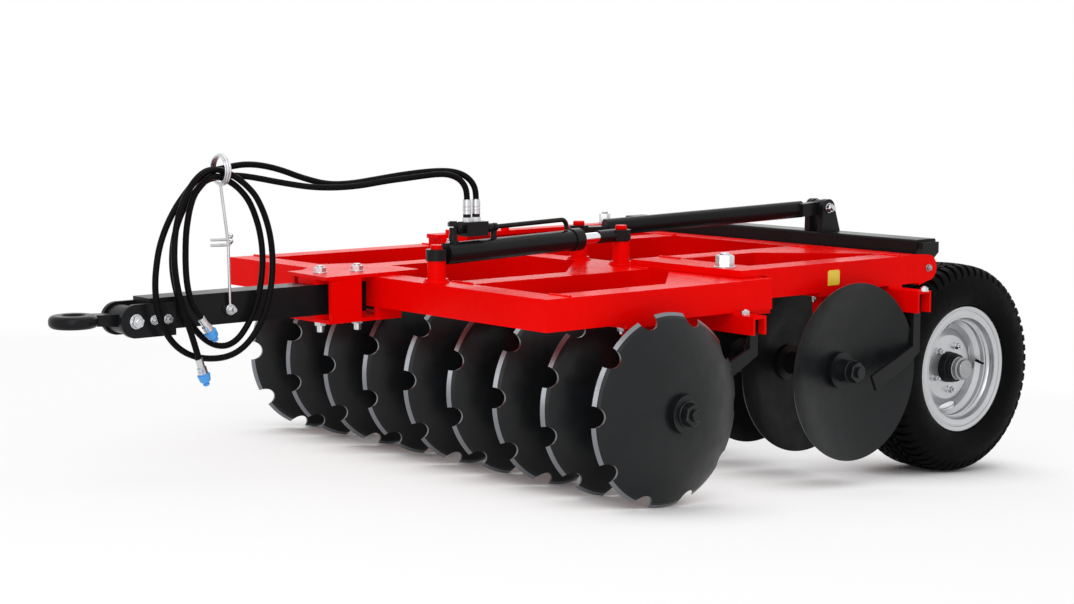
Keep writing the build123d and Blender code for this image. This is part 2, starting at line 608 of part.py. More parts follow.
def scrapers():
    """Both scraper bars and one scraper for each disc, on its hollow side."""
    front_y = (FRONT_RIM_Y + SCRAPER_GAP - BAR_OVERHANG,
               FRONT_RIM_Y + (DISC_COUNT - 1) * DISC_PITCH + 2 * BAR_OVERHANG)
    rear_y = (REAR_RIM_Y - 2 * BAR_OVERHANG, REAR_RIM_Y + (DISC_COUNT - 1) * DISC_PITCH + BAR_OVERHANG)
    front_beams = (0, FRONT_INNER_LEFT_Y, FRONT_INNER_RIGHT_Y, FRAME_WIDTH - TUBE)
    rear_beams = (REAR_LEFT_Y, REAR_INNER_LEFT_Y, REAR_INNER_RIGHT_Y, REAR_RIGHT_Y)
    front_arms = []
    rear_arms = []
    for index in range(DISC_COUNT):
        front_rim = FRONT_RIM_Y + index * DISC_PITCH
        rear_rim = REAR_RIM_Y + index * DISC_PITCH
        front_arms.append(scraper(front_scraper_outline(), front_rim + SCRAPER_GAP))
        rear_arms.append(scraper(rear_scraper_outline(), rear_rim - SCRAPER_GAP - SCRAPER_THICKNESS))
    return {
        "front_scraper_bar": scraper_bar(
            FRONT_BAR_X, FRONT_BAR_WIDTH, FRONT_BAR_HEIGHT, FRONT_BAR_PACKER, -TUBE, front_y, front_beams),
        "front_scrapers": front_arms,
        "rear_scraper_bar": scraper_bar(
            REAR_BAR_X, REAR_BAR_WIDTH, REAR_BAR_HEIGHT, REAR_BAR_PACKER, REAR_BOTTOM_Z, rear_y, rear_beams),
        "rear_scrapers": rear_arms,
    }


# ---------------------------------------------------------------- drawbar and tow eye

def drawbar_tube():
    """The drawbar, from the front beam to just behind the tow eye's knuckle."""
    return block((-DRAWBAR_LENGTH, 0), (DRAWBAR_Y - TUBE / 2, DRAWBAR_Y + TUBE / 2),
                 (DRAWBAR_TOP_Z - TUBE, DRAWBAR_TOP_Z))


def drawbar_bracket():
    """Top and bottom plates, two cheeks and pads that hold the drawbar under the front beam."""
    left = BRACKET_LEFT_Y
    inner = (left + BRACKET_CHEEK, left + BRACKET_CHEEK + BRACKET_INNER_WIDTH)
    right = inner[1] + BRACKET_CHEEK
    front = BRACKET_FRONT_X
    cheek_x = (front + 10, front + 10 + BRACKET_CHEEK_LENGTH)
    top = plate_xy([(x, DRAWBAR_Y + y) for x, y in BRACKET_OUTLINE], 0, BRACKET_PLATE)
    low = -BRACKET_DEPTH
    bottom = block((front, TUBE), (left, right), (low - BRACKET_PLATE, low))
    body = top + bottom
    for y_low in (left, inner[1]):
        y = (y_low, y_low + BRACKET_CHEEK)
        body += block(cheek_x, y, (low, 0))
        body += block((0, TUBE), y, (low, -TUBE))
    drawbar_bottom = DRAWBAR_TOP_Z - TUBE
    reach = BRACKET_PAD_REACH
    for step in BRACKET_PAD_STEPS:
        x = front + step
        for z in ((DRAWBAR_TOP_Z, 0), (low, drawbar_bottom)):
            body += block((x - reach, min(x + reach, 0)), (DRAWBAR_Y - TUBE / 2, DRAWBAR_Y + TUBE / 2), z)
    return body


def hitch_cheeks():
    """Two cheek plates bolted to the drawbar's sides, joined by the tow eye's pivot pin."""
    low_y = DRAWBAR_Y - TUBE / 2 - HITCH_CHEEK
    high_y = DRAWBAR_Y + TUBE / 2
    rear = HITCH_X + HITCH_CHEEK_LENGTH
    body = cross_pin(HITCH_X, HITCH_Z, HITCH_PIN_RADIUS, low_y, high_y + HITCH_CHEEK)
    for y in (low_y, high_y):
        cheek = block((HITCH_X, rear), (y, y + HITCH_CHEEK),
                      (HITCH_Z - HITCH_CHEEK_RADIUS, HITCH_Z + HITCH_CHEEK_RADIUS))
        body += cheek + cross_pin(HITCH_X, HITCH_Z, HITCH_CHEEK_RADIUS, y, y + HITCH_CHEEK)
    return body


def tow_eye():
    """The towing ring with its shank and the knuckle on the pivot pin."""
    ring = upright(RING_X, DRAWBAR_Y, RING_RADIUS, RING_Z - RING_HEIGHT / 2, RING_Z + RING_HEIGHT / 2)
    ring = fillet(ring.edges().filter_by(GeomType.CIRCLE), RING_OUTER_ROUND)
    half_width = TUBE / 2 - KNUCKLE_SIDE_GAP
    knuckle = cross_pin(HITCH_X, HITCH_Z, KNUCKLE_RADIUS, DRAWBAR_Y - half_width, DRAWBAR_Y + half_width)
    shank_x = RING_X + RING_HOLE_RADIUS + 20
    shank = plate_xz(
        [(shank_x, RING_Z - RING_HEIGHT / 2 + 3), (HITCH_X, HITCH_Z - 20), (HITCH_X, HITCH_Z + 20),
         (shank_x, RING_Z + RING_HEIGHT / 2 - 3)], DRAWBAR_Y - 30, DRAWBAR_Y + 30)
    body = ring + shank + knuckle
    hole = upright(RING_X, DRAWBAR_Y, RING_HOLE_RADIUS, RING_Z - RING_HEIGHT, RING_Z + RING_HEIGHT)
    body -= hole
    body -= cross_pin(HITCH_X, HITCH_Z, HITCH_PIN_RADIUS + RUNNING_FIT, DRAWBAR_Y - TUBE, DRAWBAR_Y + TUBE)
    lip = RING_INNER_ROUND
    for side in (1, -1):
        edge_z = RING_Z + side * RING_HEIGHT / 2
        cone = Solid.make_cone(RING_HOLE_RADIUS + lip, RING_HOLE_RADIUS, lip,
                               Plane(origin=(RING_X, DRAWBAR_Y, edge_z), z_dir=(0, 0, -side)))
        body -= cone
    return body


# ---------------------------------------------------------------- posts, cylinder, strut

def post(x, y, top):
    """A round post with a collar at its foot, on the front frame's top face."""
    return upright(x, y, POST_RADIUS, 0, top) + upright(x, y, POST_RADIUS + POST_COLLAR, 0, POST_COLLAR_HEIGHT)


def pin_with_head(x, y, low, eye_low):
    """A pin with its head over the eye."""
    head = eye_low + EYE_HEIGHT + SEAT_GAP
    return upright(x, y, PIN_RADIUS, low, head) + upright(x, y, PIN_HEAD_RADIUS, head, head + PIN_HEAD_HEIGHT)


def pin_posts():
    """The barrel's post with its pin, and the two posts on the cross beam."""
    barrel_post = post(BARREL_POST_X, BARREL_POST_Y, BARREL_POST_TOP)
    barrel_post += pin_with_head(BARREL_POST_X, BARREL_POST_Y, BARREL_POST_TOP, BARREL_POST_TOP + SEAT_GAP)
    pair = [post(ROD_POST_X, ROD_POST_Y, ROD_POST_TOP), post(STRUT_POST_X, STRUT_POST_Y, STRUT_POST_TOP)]
    return {"barrel_post": barrel_post, "cross_beam_posts": pair}


def cylinder_axis_point(distance):
    """A point of the cylinder's axis, measured from the barrel's eye."""
    start = Vector(BARREL_POST_X, BARREL_POST_Y, BARREL_POST_TOP + SEAT_GAP + EYE_HEIGHT / 2)
    end = Vector(ROD_POST_X, ROD_POST_Y, ROD_EYE_LOW + EYE_HEIGHT / 2)
    return start + (end - start).normalized() * distance


def cylinder_length():
    """Distance between the cylinder's two eyes."""
    start = cylinder_axis_point(0)
    end = Vector(ROD_POST_X, ROD_POST_Y, ROD_EYE_LOW + EYE_HEIGHT / 2)
    return (end - start).length


def axis_rod(start, end, radius):
    """A round bar on the cylinder's axis."""
    return rod(tuple(cylinder_axis_point(start)), tuple(cylinder_axis_point(end)), radius)


def cylinder_barrel():
    """The barrel with its eye, end cap and gland; the rod runs in its bore."""
    low = BARREL_POST_TOP + SEAT_GAP
    body = axis_rod(BARREL_START, BARREL_END, BARREL_RADIUS)
    body += axis_rod(BARREL_END - GLAND_LENGTH, BARREL_END, GLAND_RADIUS)
    body += axis_rod(0, BARREL_START, BARREL_RADIUS * 0.45)
    body += upright(BARREL_POST_X, BARREL_POST_Y, EYE_RADIUS, low, low + EYE_HEIGHT)
    body -= upright(BARREL_POST_X, BARREL_POST_Y, PIN_RADIUS + RUNNING_FIT, low - 1, low + EYE_HEIGHT + 1)
    return body - axis_rod(BORE_START, BARREL_END + 1, ROD_RADIUS + RUNNING_FIT)


def cylinder_rod():
    """The chrome rod with its eye, and the pin that drops in the rod's post."""
    low = ROD_EYE_LOW
    socket_end = cylinder_length() - POST_RADIUS - ROD_SOCKET_GAP
    body = axis_rod(ROD_START, socket_end, ROD_RADIUS)
    body += axis_rod(socket_end - ROD_SOCKET_LENGTH, socket_end, ROD_SOCKET_RADIUS)
    body += upright(ROD_POST_X, ROD_POST_Y, EYE_RADIUS, low, low + EYE_HEIGHT)
    body += upright(ROD_POST_X, ROD_POST_Y, ROD_EYE_WASHER_RADIUS, low - ROD_EYE_WASHER, low)
    body += block((ROD_POST_X - POST_RADIUS - 2 * ROD_SOCKET_GAP, ROD_POST_X),
                  (ROD_POST_Y - 25, ROD_POST_Y + 20), (low, low + EYE_HEIGHT))
    return body + pin_with_head(ROD_POST_X, ROD_POST_Y, low, low)


def oil_fittings():
    """The valve block over the barrel, its two ferrules, the elbow at the port and the steel pipe."""
    y = FERRULE_Y
    x = (BLOCK_X - BLOCK_LENGTH / 2, BLOCK_X + BLOCK_LENGTH / 2)
    z = (BLOCK_Z - BLOCK_HEIGHT / 2, BLOCK_Z + BLOCK_HEIGHT / 2)
    body = block(x, (y - BLOCK_WIDTH / 2, y + BLOCK_WIDTH / 2), z)
    for ferrule_x in (FERRULE_A_X, FERRULE_B_X):
        body += upright(ferrule_x, y, FERRULE_RADIUS, z[1], FERRULE_TOP_Z)
    port = cylinder_axis_point(PIPE_PORT_X - BARREL_POST_X)
    port_top = port.Z + BARREL_RADIUS - 2
    body += upright(PIPE_PORT_X, port.Y, PIPE_RADIUS * 1.6, port_top, BLOCK_Z + PIPE_RADIUS)
    body += rod((PIPE_PORT_X, port.Y, BLOCK_Z), (x[0], y, BLOCK_Z), PIPE_RADIUS)
    drop = cylinder_axis_point(PIPE_DROP_X - BARREL_POST_X)
    path = FilletPolyline((x[1], y, BLOCK_Z), (PIPE_DROP_X, drop.Y, BLOCK_Z + 8),
                          (PIPE_DROP_X, drop.Y, drop.Z + GLAND_RADIUS - 2), radius=[3 * PIPE_RADIUS])
    section = Plane(origin=path @ 0, z_dir=path % 0) * Circle(PIPE_RADIUS)
    body += sweep(section, path)
    clip = cylinder_axis_point(PIPE_CLIP_X - BARREL_POST_X)
    body += upright(PIPE_CLIP_X, clip.Y, PIPE_RADIUS * 1.3, clip.Z + BARREL_RADIUS - 2, BLOCK_Z)
    barrel = axis_rod(BARREL_START, BARREL_END, BARREL_RADIUS)
    gland = axis_rod(BARREL_END - GLAND_LENGTH, BARREL_END, GLAND_RADIUS)
    return body - barrel - gland


def strut_point(x):
    """Centre of the strut at a given X, on the line between its two eyes."""
    front = Vector(STRUT_POST_X, STRUT_POST_Y, STRUT_POST_TOP + SEAT_GAP + EYE_HEIGHT / 2)
    rear = Vector(STRUT_PIN_X, STRUT_PIN_Y, STRUT_PIN_Z)
    share = (x - front.X) / (rear.X - front.X)
    return front + (rear - front) * share


def strut():
    """The long tube with a flat bar and upright eye in front and a level eye behind."""
    low = STRUT_POST_TOP + SEAT_GAP
    body = rod(tuple(strut_point(STRUT_TUBE_START_X)), tuple(strut_point(STRUT_TUBE_END_X)), STRUT_RADIUS)
    start = strut_point(STRUT_POST_X)
    end = strut_point(STRUT_TUBE_START_X + 40)
    across = Vector(-(end.Y - start.Y), end.X - start.X, 0).normalized() * (STRUT_RADIUS - 3)
    flat = plate_xy([tuple(start + across)[:2], tuple(end + across)[:2],
                     tuple(end - across)[:2], tuple(start - across)[:2]],
                    start.Z - STRUT_BAR / 2, start.Z + STRUT_BAR / 2)
    body += flat
    body += upright(STRUT_POST_X, STRUT_POST_Y, EYE_RADIUS, low, low + EYE_HEIGHT)
    body += pin_with_head(STRUT_POST_X, STRUT_POST_Y, low, low)
    tail_x = STRUT_TUBE_END_X - 30
    tail = strut_point(tail_x)
    half = STRUT_EYE_WIDTH / 2
    body += plate_xz([(tail_x, tail.Z - 24), (STRUT_PIN_X, STRUT_PIN_Z - 24), (STRUT_PIN_X, STRUT_PIN_Z + 24),
                      (tail_x, tail.Z + 24)], STRUT_PIN_Y - half, STRUT_PIN_Y + half)
    body += cross_pin(STRUT_PIN_X, STRUT_PIN_Z, STRUT_EYE_RADIUS, STRUT_PIN_Y - half, STRUT_PIN_Y + half)
    return body - cross_pin(STRUT_PIN_X, STRUT_PIN_Z, STRUT_PIN_RADIUS + RUNNING_FIT,
                            STRUT_PIN_Y - STRUT_RADIUS, STRUT_PIN_Y + STRUT_RADIUS)


# ---------------------------------------------------------------- rockshaft and wheels

def pivot_ear():
    """The left ear behind the rear cross beam, round about the rockshaft's pivot pin."""
    y = (REAR_LEFT_Y, REAR_LEFT_Y + EAR_THICKNESS)
    nose_top = PIVOT_Z + EAR_REACH
    plate = plate_xz([(REAR_END_X, EAR_LOW_Z), (PIVOT_X, PIVOT_Z - EAR_REACH), (PIVOT_X, nose_top),
                      (REAR_END_X, REAR_TOP_Z)], *y)
    plate += cross_pin(PIVOT_X, PIVOT_Z, EAR_REACH, *y)
    reach = EAR_THICKNESS + EAR_SIDE_GAP
    return plate + cross_pin(PIVOT_X, PIVOT_Z, PIVOT_PIN_RADIUS, y[0], y[1] + reach)


def rockshaft_beam():
    """The box beam with a pivot lug at each end and the strut's two ears on top."""
    lug_low = REAR_LEFT_Y + EAR_THICKNESS + EAR_SIDE_GAP
    lug_high = lug_low + EAR_THICKNESS
    mirror_lug = (2 * MID_Y - lug_high, 2 * MID_Y - lug_low)
    rear_x = SHAFT_FRONT_X + SHAFT_WIDTH
    top_z = SHAFT_LOW_Z + SHAFT_HEIGHT
    beam = block((SHAFT_FRONT_X, rear_x), (lug_high, mirror_lug[0]), (SHAFT_LOW_Z, top_z))
    beam = fillet(beam.edges().filter_by(Axis.Y), SHAFT_ROUND)
    lug = plate_xz([(PIVOT_X - LUG_RADIUS, PIVOT_Z), (PIVOT_X + LUG_RADIUS, PIVOT_Z),
                    (rear_x - 12, SHAFT_LOW_Z + 20), (rear_x - 12, top_z - 10),
                    (SHAFT_FRONT_X + 4, top_z - 10), (SHAFT_FRONT_X + 4, SHAFT_LOW_Z + 36)], lug_low, lug_high)
    lug += cross_pin(PIVOT_X, PIVOT_Z, LUG_RADIUS, lug_low, lug_high)
    lug -= cross_pin(PIVOT_X, PIVOT_Z, PIVOT_PIN_RADIUS + RUNNING_FIT, lug_low, lug_high)
    body = beam + lug + to_right_side(lug)
    inner = STRUT_EYE_WIDTH / 2 + STRUT_EAR_GAP
    for y in (STRUT_PIN_Y - inner - STRUT_EAR, STRUT_PIN_Y + inner):
        ear = plate_xz([(SHAFT_FRONT_X + 2, top_z), (rear_x - 4, top_z), (STRUT_PIN_X + 33, STRUT_PIN_Z),
                        (STRUT_PIN_X - 33, STRUT_PIN_Z)], y, y + STRUT_EAR)
        body += ear + cross_pin(STRUT_PIN_X, STRUT_PIN_Z, 33, y, y + STRUT_EAR)
    reach = inner + STRUT_EAR + STRUT_PIN_END
    pin = cross_pin(STRUT_PIN_X, STRUT_PIN_Z, STRUT_PIN_RADIUS, STRUT_PIN_Y - reach, STRUT_PIN_Y + reach)
    return body + pin


def wheel_arm():
    """The left wheel's arm under the rockshaft, inboard of the tyre, with its stub axle."""
    inner_y = WHEEL_LEFT_Y + TYRE_WIDTH / 2 + ARM_SIDE_GAP
    y = (inner_y, inner_y + ARM_THICKNESS)
    top_x = SHAFT_FRONT_X + SHAFT_WIDTH / 2
    along = Vector(AXLE_X - top_x, 0, AXLE_Z - SHAFT_LOW_Z).normalized()
    side = Vector(-along.Z, 0, along.X) * (ARM_WIDTH / 2)
    foot = Vector(AXLE_X, 0, AXLE_Z)
    body = plate_xz([(SHAFT_FRONT_X + 6, SHAFT_LOW_Z), (SHAFT_FRONT_X + SHAFT_WIDTH - 6, SHAFT_LOW_Z),
                     (foot.X + side.X, foot.Z + side.Z), (foot.X - side.X, foot.Z - side.Z)], *y)
    body += cross_pin(AXLE_X, AXLE_Z, ARM_BOSS_RADIUS, y[0] - ARM_SIDE_GAP, y[1])
    hub_face = WHEEL_LEFT_Y - HUB_OUTER + CAP_HEIGHT
    return body + cross_pin(AXLE_X, AXLE_Z, STUB_RADIUS, hub_face + 15, y[1])


def tyre():
    """The tyre about the Y axis, round shoulders and a flat crown."""
    half = TYRE_WIDTH / 2
    bead = BEAD_WIDTH / 2
    shoulder = WHEEL_RADIUS - 22
    middle = (RIM_FLANGE_RADIUS + shoulder) / 2
    wall = RIM_FLANGE_RADIUS + SEAT_GAP
    section = [
        Line((BEAD_RADIUS, -bead), (BEAD_RADIUS, bead)),
        Line((BEAD_RADIUS, bead), (wall, bead)),
        ThreePointArc((wall, bead), (middle, half), (shoulder, half - 18)),
        Line((shoulder, half - 18), (WHEEL_RADIUS - 4, half - 38)),
        ThreePointArc((WHEEL_RADIUS - 4, half - 38), (WHEEL_RADIUS, 0), (WHEEL_RADIUS - 4, 38 - half)),
        Line((WHEEL_RADIUS - 4, 38 - half), (shoulder, 18 - half)),
        ThreePointArc((shoulder, 18 - half), (middle, -half), (wall, -bead)),
        Line((wall, -bead), (BEAD_RADIUS, -bead)),
    ]
    return revolve(make_face(section), Axis.Y)


def rim():
    """The pressed rim about the Y axis: a stepped barrel, a dished disc towards -Y and its four slots."""
    half = BEAD_WIDTH / 2
    seat = BEAD_RADIUS - SEAT_GAP
    sheet = RIM_SHEET
    flange = RIM_FLANGE_RADIUS
    step = RIM_STEP_RADIUS
    well = RIM_WELL_RADIUS
    lip = half + 2 + sheet
    section = [
        (seat, -half), (flange, -half - 2), (flange, -lip), (seat - sheet, -lip), (seat - sheet, -half + 22),
        (step, -half + 30), (step, -half + 46), (well, -half + 60), (well, half - 46),
        (seat - sheet, half - 24), (seat - sheet, lip), (flange, lip), (flange, half + 2), (seat, half),
        (seat, half - 26),
        (well + sheet, half - 48), (well + sheet, -half + 62), (step + sheet, -half + 48),
        (step + sheet, -half + 32), (seat, -half + 24),
    ]
    body = revolve(make_face(Polyline(section, close=True)), Axis.Y)
    face = -RIM_DISC_OFFSET - RIM_DISC_RISE
    foot = -RIM_DISC_OFFSET + RIM_DISC_RISE
    bend = (RIM_DISC_FLAT + well) / 2 + 5
    dish = [
        (HUB_RADIUS, face), (RIM_DISC_FLAT, face), (bend, foot), (well + 2, foot + 3),
        (well + 2, foot + 3 + sheet),
        (bend - 2, foot + sheet), (RIM_DISC_FLAT - 2, face + sheet), (HUB_RADIUS, face + sheet),
    ]
    dish = revolve(make_face(Polyline(dish, close=True)), Axis.Y)
    inside = cross_pin(0, 0, well - 2, -half, half)
    for index in range(SLOT_COUNT):
        angle = math.radians(SLOT_TURN + 360 * index / SLOT_COUNT)
        slot = cross_pin(SLOT_CENTRE * math.cos(angle), SLOT_CENTRE * math.sin(angle), SLOT_RADIUS, -half, half)
        dish -= slot & inside
    return body + dish


def hub():
    """The hub about the Y axis, with its flange behind the rim's disc and a cap outside."""
    face = -RIM_DISC_OFFSET - RIM_DISC_RISE + RIM_SHEET
    outside = -HUB_OUTER + CAP_HEIGHT
    fit = HUB_RADIUS - SEAT_GAP
    points = [(0, -HUB_OUTER), (CAP_RADIUS, -HUB_OUTER), (CAP_RADIUS, outside), (fit, outside),
              (fit, face), (HUB_FLANGE_RADIUS, face), (HUB_FLANGE_RADIUS, face + HUB_FLANGE),
              (HUB_RADIUS, face + HUB_FLANGE), (HUB_RADIUS, HUB_INNER), (STUB_RADIUS + RUNNING_FIT, HUB_INNER),
              (STUB_RADIUS + RUNNING_FIT, outside + 10), (0, outside + 10)]
    return revolve(make_face(Polyline(points, close=True)), Axis.Y)


def wheels():
    """Tyre, rim and hub of both wheels, the right ones turned to face the other way."""
    pieces = {}
    for name, shape in (("tyre", tyre()), ("rim", rim()), ("hub", hub())):
        pieces[f"{name}_left"] = Pos(AXLE_X, WHEEL_LEFT_Y, AXLE_Z) * shape
        pieces[f"{name}_right"] = Pos(AXLE_X, WHEEL_RIGHT_Y, AXLE_Z) * Rot(0, 0, 180) * shape
    return pieces


def adjusting_bar():
    """The drilled bar from the front frame over the rear frame, with its spacer and bolts."""
    low = REAR_TOP_Z + BAR_RIDE
    y = (BAR_Y - BAR_WIDTH / 2, BAR_Y + BAR_WIDTH / 2)
    body = block((BAR_FRONT_X, BAR_REAR_X), y, (low, low + BAR_HEIGHT))
    body += block((FRONT_LENGTH - TUBE - 20, FRONT_LENGTH), (y[0] - 8, y[1] + 8), (0, low))
    for x in BAR_HEAD_X:
        body += upright(x, BAR_Y, BAR_HEAD_RADIUS, low + BAR_HEIGHT, low + BAR_HEIGHT + BAR_HEAD_HEIGHT)
    return body


# ---------------------------------------------------------------- hoses

def corner_radii(route):
    """The arc at each inner point of a route, as large as its two runs allow."""
    radii = []
    points = [Vector(*p) for p in route]
    for before, here, after in zip(points, points[1:], points[2:]):
        first = here - before
        second = after - here
        half_turn = math.radians(first.get_angle(second)) / 2
        radii.append(BEND_SHARE * min(first.length, second.length) / math.tan(half_turn))
    return radii


def hose(route):
    """A hose along straight runs joined by tangent arcs."""
    radii = corner_radii(route)
    path = FilletPolyline(*[Vector(*p) for p in route], radius=radii)
    section = Plane(origin=path @ 0, z_dir=path % 0) * Circle(HOSE_RADIUS)
    body = sweep(section, path)
    expected = math.pi * HOSE_RADIUS ** 2 * path.length
    print(f"hose length {path.length:.1f} mm, volume over section times length {body.volume / expected:.4f},"
          f" smallest radius {min(radii):.0f} mm")
    return body


def hose_holder():
    """The bent wire on the drawbar's side, with two prongs and the ring that holds the hoses."""
    y = HOLDER_Y
    ring_low = HOLDER_RING_Z - HOLDER_RING_RADIUS
    foot = (HOLDER_FOOT_X, y, HOLDER_FOOT_Z)
    elbow = (HOLDER_FOOT_X - 4, y, 140)
    body = rod(foot, elbow, HOLDER_WIRE)
    body += rod(elbow, (HOLDER_RING_X, y, ring_low), HOLDER_WIRE) + Pos(*elbow) * Sphere(HOLDER_WIRE)
    for z in (132, 149):
        body += rod((elbow[0] + 6, y, z), (elbow[0] - HOLDER_PRONG, y, z + 2), HOLDER_WIRE)
    ring = Pos(HOLDER_RING_X, y, HOLDER_RING_Z) * Rot(0, 90, 0) * Torus(HOLDER_RING_RADIUS, HOLDER_WIRE)
    body += ring
    return body + cross_pin(HOLDER_FOOT_X, HOLDER_FOOT_Z, 15, y - 12, DRAWBAR_Y - TUBE / 2)


def couplings():
    """A coupling at each hose's free end, and its cap."""
    bodies = []
    caps = []
    for route in (HOSE_A_ROUTE, HOSE_B_ROUTE):
        end = Vector(*route[-1])
        along = (end - Vector(*route[-2])).normalized()
        middle = end + along * COUPLING_LENGTH
        bodies.append(rod(tuple(end), tuple(middle), COUPLING_RADIUS))
        caps.append(rod(tuple(middle), tuple(middle + along * CAP_COVER_LENGTH), CAP_COVER_RADIUS))
    return {"hose_couplings": bodies, "coupling_caps": caps}


# ---------------------------------------------------------------- assembly

def stance_pitch():
    """Angle that brings the front discs and the wheels down to one level floor, in degrees."""
    run = AXLE_X - FRONT_GANG_X
    drop = AXLE_Z - FRONT_GANG_Z
    reach = math.hypot(run, drop)
    return math.degrees(math.asin((WHEEL_RADIUS - DISC_RADIUS) / reach) - math.atan2(drop, run))


def build():
    """Every piece by its name, in the working frame."""
    pieces = {}
    pieces.update(front_frame())
    pieces.update(rear_frame())
    pieces["hinge_plates"] = hinge_plates()
    front_beams = (0, FRONT_INNER_LEFT_Y, FRONT_INNER_RIGHT_Y, FRAME_WIDTH - TUBE)
    rear_beams = (REAR_LEFT_Y, REAR_INNER_LEFT_Y, REAR_INNER_RIGHT_Y, REAR_RIGHT_Y)
    front_discs, front_core = gang_rows(FRONT_GANG_X, FRONT_GANG_Z, FRONT_RIM_Y, True, False)
    rear_discs, rear_core = gang_rows(REAR_GANG_X, REAR_GANG_Z, REAR_RIM_Y, False, True)
    pieces["front_discs"] = front_discs
    pieces["front_spools"] = front_core
    pieces["rear_discs"] = rear_discs
    pieces["rear_spools"] = rear_core
    pieces.update(hangers("front", FRONT_GANG_X, FRONT_GANG_Z, bearing_places(FRONT_RIM_Y, False),
                          front_beams, -TUBE))
    pieces.update(hangers("rear", REAR_GANG_X, REAR_GANG_Z, bearing_places(REAR_RIM_Y, True),
                          rear_beams, REAR_BOTTOM_Z))
    pieces.update(scrapers())
    pieces["drawbar_tube"] = drawbar_tube()
    pieces["drawbar_bracket"] = drawbar_bracket()
    pieces["hitch_cheeks"] = hitch_cheeks()
    pieces["tow_eye"] = tow_eye()
    pieces.update(pin_posts())
    pieces["cylinder_barrel"] = cylinder_barrel()
    pieces["cylinder_rod"] = cylinder_rod()
    pieces["oil_fittings"] = oil_fittings()
    pieces["strut"] = strut()
    ear = pivot_ear()
    arm = wheel_arm()
    pieces["pivot_ear_left"] = ear
    pieces["pivot_ear_right"] = to_right_side(ear)
    pieces["rockshaft_beam"] = rockshaft_beam()
    pieces["wheel_arm_left"] = arm
    pieces["wheel_arm_right"] = to_right_side(arm)
    pieces.update(wheels())
    pieces["adjusting_bar"] = adjusting_bar()
    pieces["hose_holder"] = hose_holder()
    pieces["hose_a"] = hose(HOSE_A_ROUTE)
    pieces["hose_b"] = hose(HOSE_B_ROUTE)
    pieces.update(couplings())
    return pieces


def solids_of(piece):
    """The separate solids of a piece."""
    if isinstance(piece, list):
        return [solid for item in piece for solid in item.solids()]
    return piece.solids()


CORD_PIECES = ("hose_a", "hose_b", "hose_couplings", "coupling_caps")


def main():
    """Build all pieces, stand them on the floor about the origin and write them."""
    pitch = stance_pitch()
    tilt = Rot(0, -pitch, 0)
    stood = {}
    for name, piece in build().items():
        stood[name] = [tilt * solid for solid in solids_of(piece)]
    corners = []
    for name, solids in stood.items():
        if name not in CORD_PIECES:
            corners += [(box.min, box.max) for box in (solid.bounding_box() for solid in solids)]
    x = (min(low.X for low, _ in corners) + max(high.X for _, high in corners)) / 2
    y = (min(low.Y for low, _ in corners) + max(high.Y for _, high in corners)) / 2
    floor = min(low.Z for low, _ in corners)
    print(f"stance: pitch {pitch:.6f} degrees, then move by {-x:.4f}, {-y:.4f}, {-floor:.4f} mm")
    os.makedirs("parts", exist_ok=True)
    for name, solids in stood.items():
        moved = [Pos(-x, -y, -floor) * solid for solid in solids]
        shape = moved[0] if len(moved) == 1 else Compound(children=moved)
        export_step(shape, f"parts/{name}.step")


main()
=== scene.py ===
"""Looks of the trailed offset disc harrow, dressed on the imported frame.

Pieces are drawn in the machine's working frame, in millimetres: X rearward, Y to the machine's
right, Z up, with the origin at the front left top corner of the front frame. One transform
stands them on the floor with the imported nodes.
"""
import math
import random

import bpy
from mathutils import Matrix, Vector


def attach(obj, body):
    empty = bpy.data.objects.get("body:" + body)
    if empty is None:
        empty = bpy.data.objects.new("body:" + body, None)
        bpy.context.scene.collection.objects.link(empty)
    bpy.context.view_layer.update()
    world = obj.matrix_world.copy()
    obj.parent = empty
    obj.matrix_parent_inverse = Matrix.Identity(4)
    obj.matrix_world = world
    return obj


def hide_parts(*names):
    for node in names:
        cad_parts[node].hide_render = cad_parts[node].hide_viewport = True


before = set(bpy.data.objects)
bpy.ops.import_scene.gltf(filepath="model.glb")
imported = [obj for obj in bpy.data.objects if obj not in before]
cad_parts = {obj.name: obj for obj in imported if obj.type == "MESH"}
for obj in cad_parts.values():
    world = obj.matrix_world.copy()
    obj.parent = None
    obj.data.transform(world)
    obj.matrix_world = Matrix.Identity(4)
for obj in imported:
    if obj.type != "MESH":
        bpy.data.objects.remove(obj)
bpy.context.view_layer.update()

STANCE_PITCH = -4.351081
STANCE_MOVE = (-0.6886053, -0.910000, 0.6402267)
STANCE = Matrix.Translation(STANCE_MOVE) @ Matrix.Rotation(math.radians(STANCE_PITCH), 4, "Y")
TO_ROW = STANCE @ Matrix.Scale(0.001, 4)

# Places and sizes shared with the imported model, in its working frame
TUBE = 100.0
FRONT_LENGTH = 965.0
FRONT_BEAMS = (0.0, 487.0, 1157.0, 1685.0)
REAR_TOP_Z = 25.0
REAR_BEAMS = (66.0, 500.0, 1217.0, 1694.0)
REAR_START_X = 1025.0
REAR_END_X = 1783.0
DISC_COUNT = 9
DISC_PITCH = 238.5
# Axle X, first disc's Y, axle Z of each gang; middle X and top Z of each channel bar
FRONT_GANG = (418.0, -73.0, -368.0)
REAR_GANG = (1362.0, -15.0, -346.0)
FRONT_BAR = (815.0, -105.0)
REAR_BAR = (1655.0, -85.0)
DRAWBAR_Y = 980.0
HINGE = (925.0, 180.0)
AXLE_X = 2077.0
AXLE_Z = -415.0
